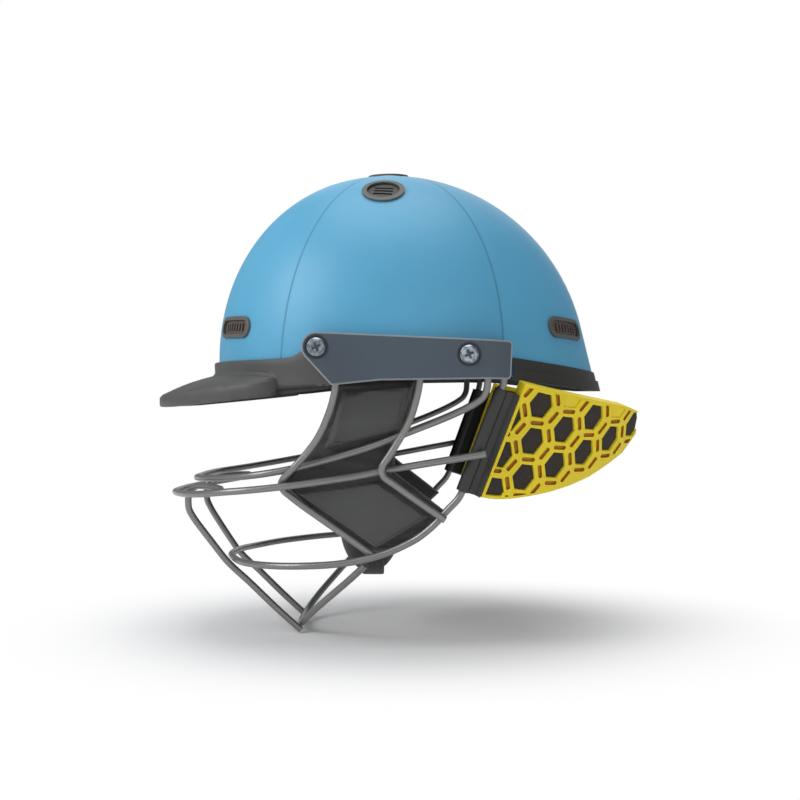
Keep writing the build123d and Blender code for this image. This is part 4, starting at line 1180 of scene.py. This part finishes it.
class HELMET_OT_neck_guards(Operator):
    """Build the honeycomb neck guards with foam in their cells"""

    bl_idname = "helmet.neck_guards"
    bl_label = "Neck Guards"

    def execute(self, context):
        outline = [(s * MM, t * MM) for s, t in GUARD_OUTLINE]
        moulding = guard_moulding(outline)
        slice_along_x(moulding, 4 * MM)
        wrap_round_neck(moulding)
        left = settle(moulding, "guard_moulding_left")
        yellow = moulded_paint("guard_elastomer", colours().guard, 700.0, 0.5, 0.05, 0.05)
        # Painted shade in the slots: the yellow darkened to orange-brown
        slot_shade_paint = moulded_paint("guard_slot_shade", colours().groove, 700.0, 0.6, 0.05, 0.1)
        left.data.materials.append(yellow)
        left.data.materials.append(slot_shade_paint)

        narrow = sizes().cell_width - 0.4 * MM
        gap = 0.2 * MM
        plugs = [within(cell_corners(step, narrow), outline, CELL_RIM + gap) for step in CELLS]
        plugs += [
            within(cell_corners(step, narrow), outline, EDGE_RIM + gap) for step in EDGE_CELLS
        ]
        plugs.append(within(cell_corners(END_CELL, narrow), outline, 0.1 * MM))
        blocks = [thicken(flat_face(corners), -PLUG_HALF, PLUG_HALF) for corners in plugs]
        foam = joined(blocks, "guard_plugs_left")
        apply_modifier(foam, "BEVEL", width=0.8 * MM, segments=3, angle_limit=0.6)
        slice_along_x(foam, 3 * MM)
        wrap_round_neck(foam)
        plugs_left = settle(foam, "guard_plugs_left", foam_paint("guard_foam", colours().foam))
        pieces = (
            (left, "left", "neck_guard", "guard_yellow"),
            (mirrored(left, "guard_moulding_right"), "right", "neck_guard", "guard_yellow"),
            (plugs_left, "left", "guard_foam", "guard_foam"),
            (mirrored(plugs_left, "guard_plugs_right"), "right", "guard_foam", "guard_foam"),
        )
        for piece, side, node, slot in pieces:
            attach(piece, f"neck_guard_{side}_body")
            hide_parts(f"{node}_{side}")
            node == "guard_foam"
        black = moulded_paint("black_plastic", colours().black, 800.0, 0.42, 0.05)
        dress(black, *pair("guard_clip"))
        return {"FINISHED"}


def strap_path(step):
    """The strap's route from side to side round the chin, as points about a step apart."""
    side, top, low, bend, plane = 74.0, 20.0, -4.0, 20.0, -16.5
    middle, reach, touch = Vector((0, -105)), 35.1, Vector((32.99, -116.98))
    corner, away = Vector((side, low)), Vector((-0.341185, -0.939996))
    run = bend * (Vector((0, -1)).angle(away) / 2)
    first, last = corner + Vector((0, run)), corner + away * run
    points = [Vector((side, top)).lerp(first, i / 9) for i in range(9)]
    points += [
        first.lerp(corner, i / 8).lerp(corner.lerp(last, i / 8), i / 8) for i in range(8)
    ]
    runs = int((touch - last).length / step)
    points += [last.lerp(touch, i / runs) for i in range(runs)]
    begin = atan2(touch.y - middle.y, touch.x - middle.x)
    arc = [begin + (-pi / 2 - begin) * i / 24 for i in range(25)]
    points += [middle + Vector((cos(turn), sin(turn))) * reach for turn in arc]
    points += [Vector((-point.x, point.y)) for point in points[-2::-1]]
    return [Vector((point.x, plane, point.y)) * MM for point in points]


def strap_ring():
    """The webbing's section round its rolled edges, across it and through it."""
    half, thin, count = 7.4 * MM, 0.75 * MM, 16
    ring = []
    for index in range(count):
        turn = 2 * pi * index / count
        wide = (abs(cos(turn)) ** 0.22) * half * (1 if cos(turn) > 0 else -1)
        ring.append((wide, sin(turn) * thin))
    return [*ring, ring[0]]


class HELMET_OT_chin_strap(Operator):
    """Build the chin strap with its cup, sliders and anchors"""

    bl_idname = "helmet.chin_strap"
    bl_label = "Chin Strap"

    def execute(self, context):
        black = moulded_paint("strap_plastic", colours().black, 800.0, 0.42, 0.05)
        dress(black, *pair("strap_slider"), *pair("strap_anchor"), "plate_spacers")
        dress(moulded_paint("cup_rubber", colours().black, 500.0, 0.6, 0.1), "chin_cup")

        path, ring = strap_path(2.4), strap_ring()
        ways = []
        for index in range(len(path)):
            ahead = path[min(index + 1, len(path) - 1)] - path[max(index - 1, 0)]
            ways.append(ahead.normalized())
        lengths = [0.0]
        for here, after in zip(path, path[1:]):
            lengths.append(lengths[-1] + (after - here).length)
        round_it, along_it = len(ring) - 1, len(path) - 1
        deselect()
        bpy.ops.mesh.primitive_grid_add(x_subdivisions=round_it, y_subdivisions=along_it, size=1)
        strap = bpy.context.object
        across = {}
        for vertex in strap.data.vertices:
            column = round((vertex.co.x + 0.5) * round_it)
            row = round((vertex.co.y + 0.5) * along_it)
            wide, out = ring[column]
            side = ways[row].cross(Vector((0, 1, 0)))
            vertex.co = path[row] + Vector((0, wide, 0)) + side * out
            across[vertex.index] = (wide, lengths[row])
        layer = strap.data.uv_layers.active or strap.data.uv_layers.new()
        layer.name = "strap"
        for loop in strap.data.loops:
            layer.data[loop.index].uv = across[loop.vertex_index]
        weld(bpy.ops.mesh.edge_face_add)
        strap = settle(strap, "strap_web", strap_paint(), 50)
        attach(strap, "chin_strap_body")
        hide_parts("chin_strap")
        return {"FINISHED"}


class HELMET_OT_stage(Operator):
    """Set the camera, the lights and the white floor"""

    bl_idname = "helmet.stage"
    bl_label = "Stage"

    def execute(self, context):
        deselect()
        low = min(corner.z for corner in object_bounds())
        bpy.ops.mesh.primitive_plane_add(size=24, location=(0, 0, low - 0.4 * MM))
        floor = bpy.context.object
        paper = Paint("white_floor")
        x, y, _ = paper.axes()
        dust = paper.noise(3.0, 3.0)
        paper.finish(
            paper.mix(dust, (0.86, 0.86, 0.86), (0.88, 0.88, 0.88)), 0.95, Specular_IOR_Level=0.1
        )
        paths = paper.tree.nodes.new("ShaderNodeLightPath")
        seen = Amount(paper, paths.outputs["Is Camera Ray"])
        seen = seen.most(Amount(paper, paths.outputs["Is Glossy Ray"]))
        far = (x * x * 28.0 + y * y * 14.0).root().fade(0.45, 1.15)
        glow = paper.tree.nodes.new("ShaderNodeEmission")
        glow.inputs["Color"].default_value = (1, 1, 1, 1)
        blend = paper.tree.nodes.new("ShaderNodeMixShader")
        paper.feed(blend.inputs[0], seen * (far * 0.96 + 0.04))
        paper.tree.links.new(paper.shader.outputs[0], blend.inputs[1])
        paper.tree.links.new(glow.outputs[0], blend.inputs[2])
        output = paper.tree.nodes["Material Output"]
        paper.tree.links.new(blend.outputs[0], output.inputs["Surface"])
        settle(floor, "floor", paper.material)
        floor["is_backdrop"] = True

        world = bpy.data.worlds.new("studio")
        context.scene.world = world
        world.use_nodes = True
        tree = world.node_tree
        paths = tree.nodes.new("ShaderNodeLightPath")
        mix = tree.nodes.new("ShaderNodeMix")
        mix.data_type = "RGBA"
        mix.inputs[6].default_value = (0.28, 0.29, 0.31, 1)
        mix.inputs[7].default_value = (1, 1, 1, 1)
        tree.links.new(paths.outputs["Is Camera Ray"], mix.inputs[0])
        tree.links.new(mix.outputs[2], tree.nodes["Background"].inputs["Color"])

        for name, place, energy, size in (
            ("key", (0.75, -1.5, 1.05), 22, 1.0),
            ("fill", (1.6, 0.7, 0.5), 4.5, 1.4),
            ("top", (0.0, 0.0, 1.6), 14, 1.3),
            ("back", (-1.4, 0.2, 0.9), 5, 1.4),
        ):
            deselect()
            bpy.ops.object.light_add(type="AREA", location=place)
            lamp = bpy.context.object
            lamp.name = name
            lamp.data.energy = energy
            lamp.data.size = size
            aim = Vector((0, 0, 0)) - lamp.location
            lamp.rotation_euler = aim.to_track_quat("-Z", "Y").to_euler()

        deselect()
        bpy.ops.object.camera_add(location=(0.778, 0, -0.015))
        camera = bpy.context.object
        camera.name = "photo_camera"
        camera.data.lens = 50
        camera.data.sensor_width = 36
        camera.data.clip_start = 0.01
        aim = Vector((0, 0.0021, -0.0192)) - camera.location
        camera.rotation_euler = aim.to_track_quat("-Z", "Y").to_euler()
        context.scene.camera = camera
        context.scene.view_settings.view_transform = "Standard"
        return {"FINISHED"}


class HELMET_PT_sidebar(Panel):
    """Colours, sizes and the steps that build the helmet"""

    bl_label = "Helmet"
    bl_idname = "HELMET_PT_sidebar"
    bl_space_type = "VIEW_3D"
    bl_region_type = "UI"
    bl_category = "Helmet"

    def draw(self, context):
        for group in (context.scene.helmet_colours, context.scene.helmet_sizes):
            box = self.layout.box()
            for name in group.__annotations__:
                box.prop(group, name)
        for step in STEPS:
            self.layout.operator(step.bl_idname)


STEPS = (
    HELMET_OT_shell,
    HELMET_OT_peak,
    HELMET_OT_side_plates,
    HELMET_OT_grille,
    HELMET_OT_vents,
    HELMET_OT_pads,
    HELMET_OT_neck_guards,
    HELMET_OT_chin_strap,
    HELMET_OT_stage,
)
CLASSES = (HelmetColours, HelmetSizes, *STEPS, HELMET_PT_sidebar)


def register():
    """Add the classes and the scene's helmet settings."""
    for item in CLASSES:
        bpy.utils.register_class(item)
    bpy.types.Scene.helmet_colours = PointerProperty(type=HelmetColours)
    bpy.types.Scene.helmet_sizes = PointerProperty(type=HelmetSizes)


def unregister():
    """Take the classes and the settings away again."""
    del bpy.types.Scene.helmet_sizes
    del bpy.types.Scene.helmet_colours
    for item in reversed(CLASSES):
        bpy.utils.unregister_class(item)


def main():
    register()
    bpy.ops.helmet.shell()
    bpy.ops.helmet.peak()
    bpy.ops.helmet.side_plates()
    bpy.ops.helmet.grille()
    bpy.ops.helmet.vents()
    bpy.ops.helmet.pads()
    bpy.ops.helmet.neck_guards()
    bpy.ops.helmet.chin_strap()
    bpy.ops.helmet.stage()
    deselect()


if __name__ == "__main__":
    main()
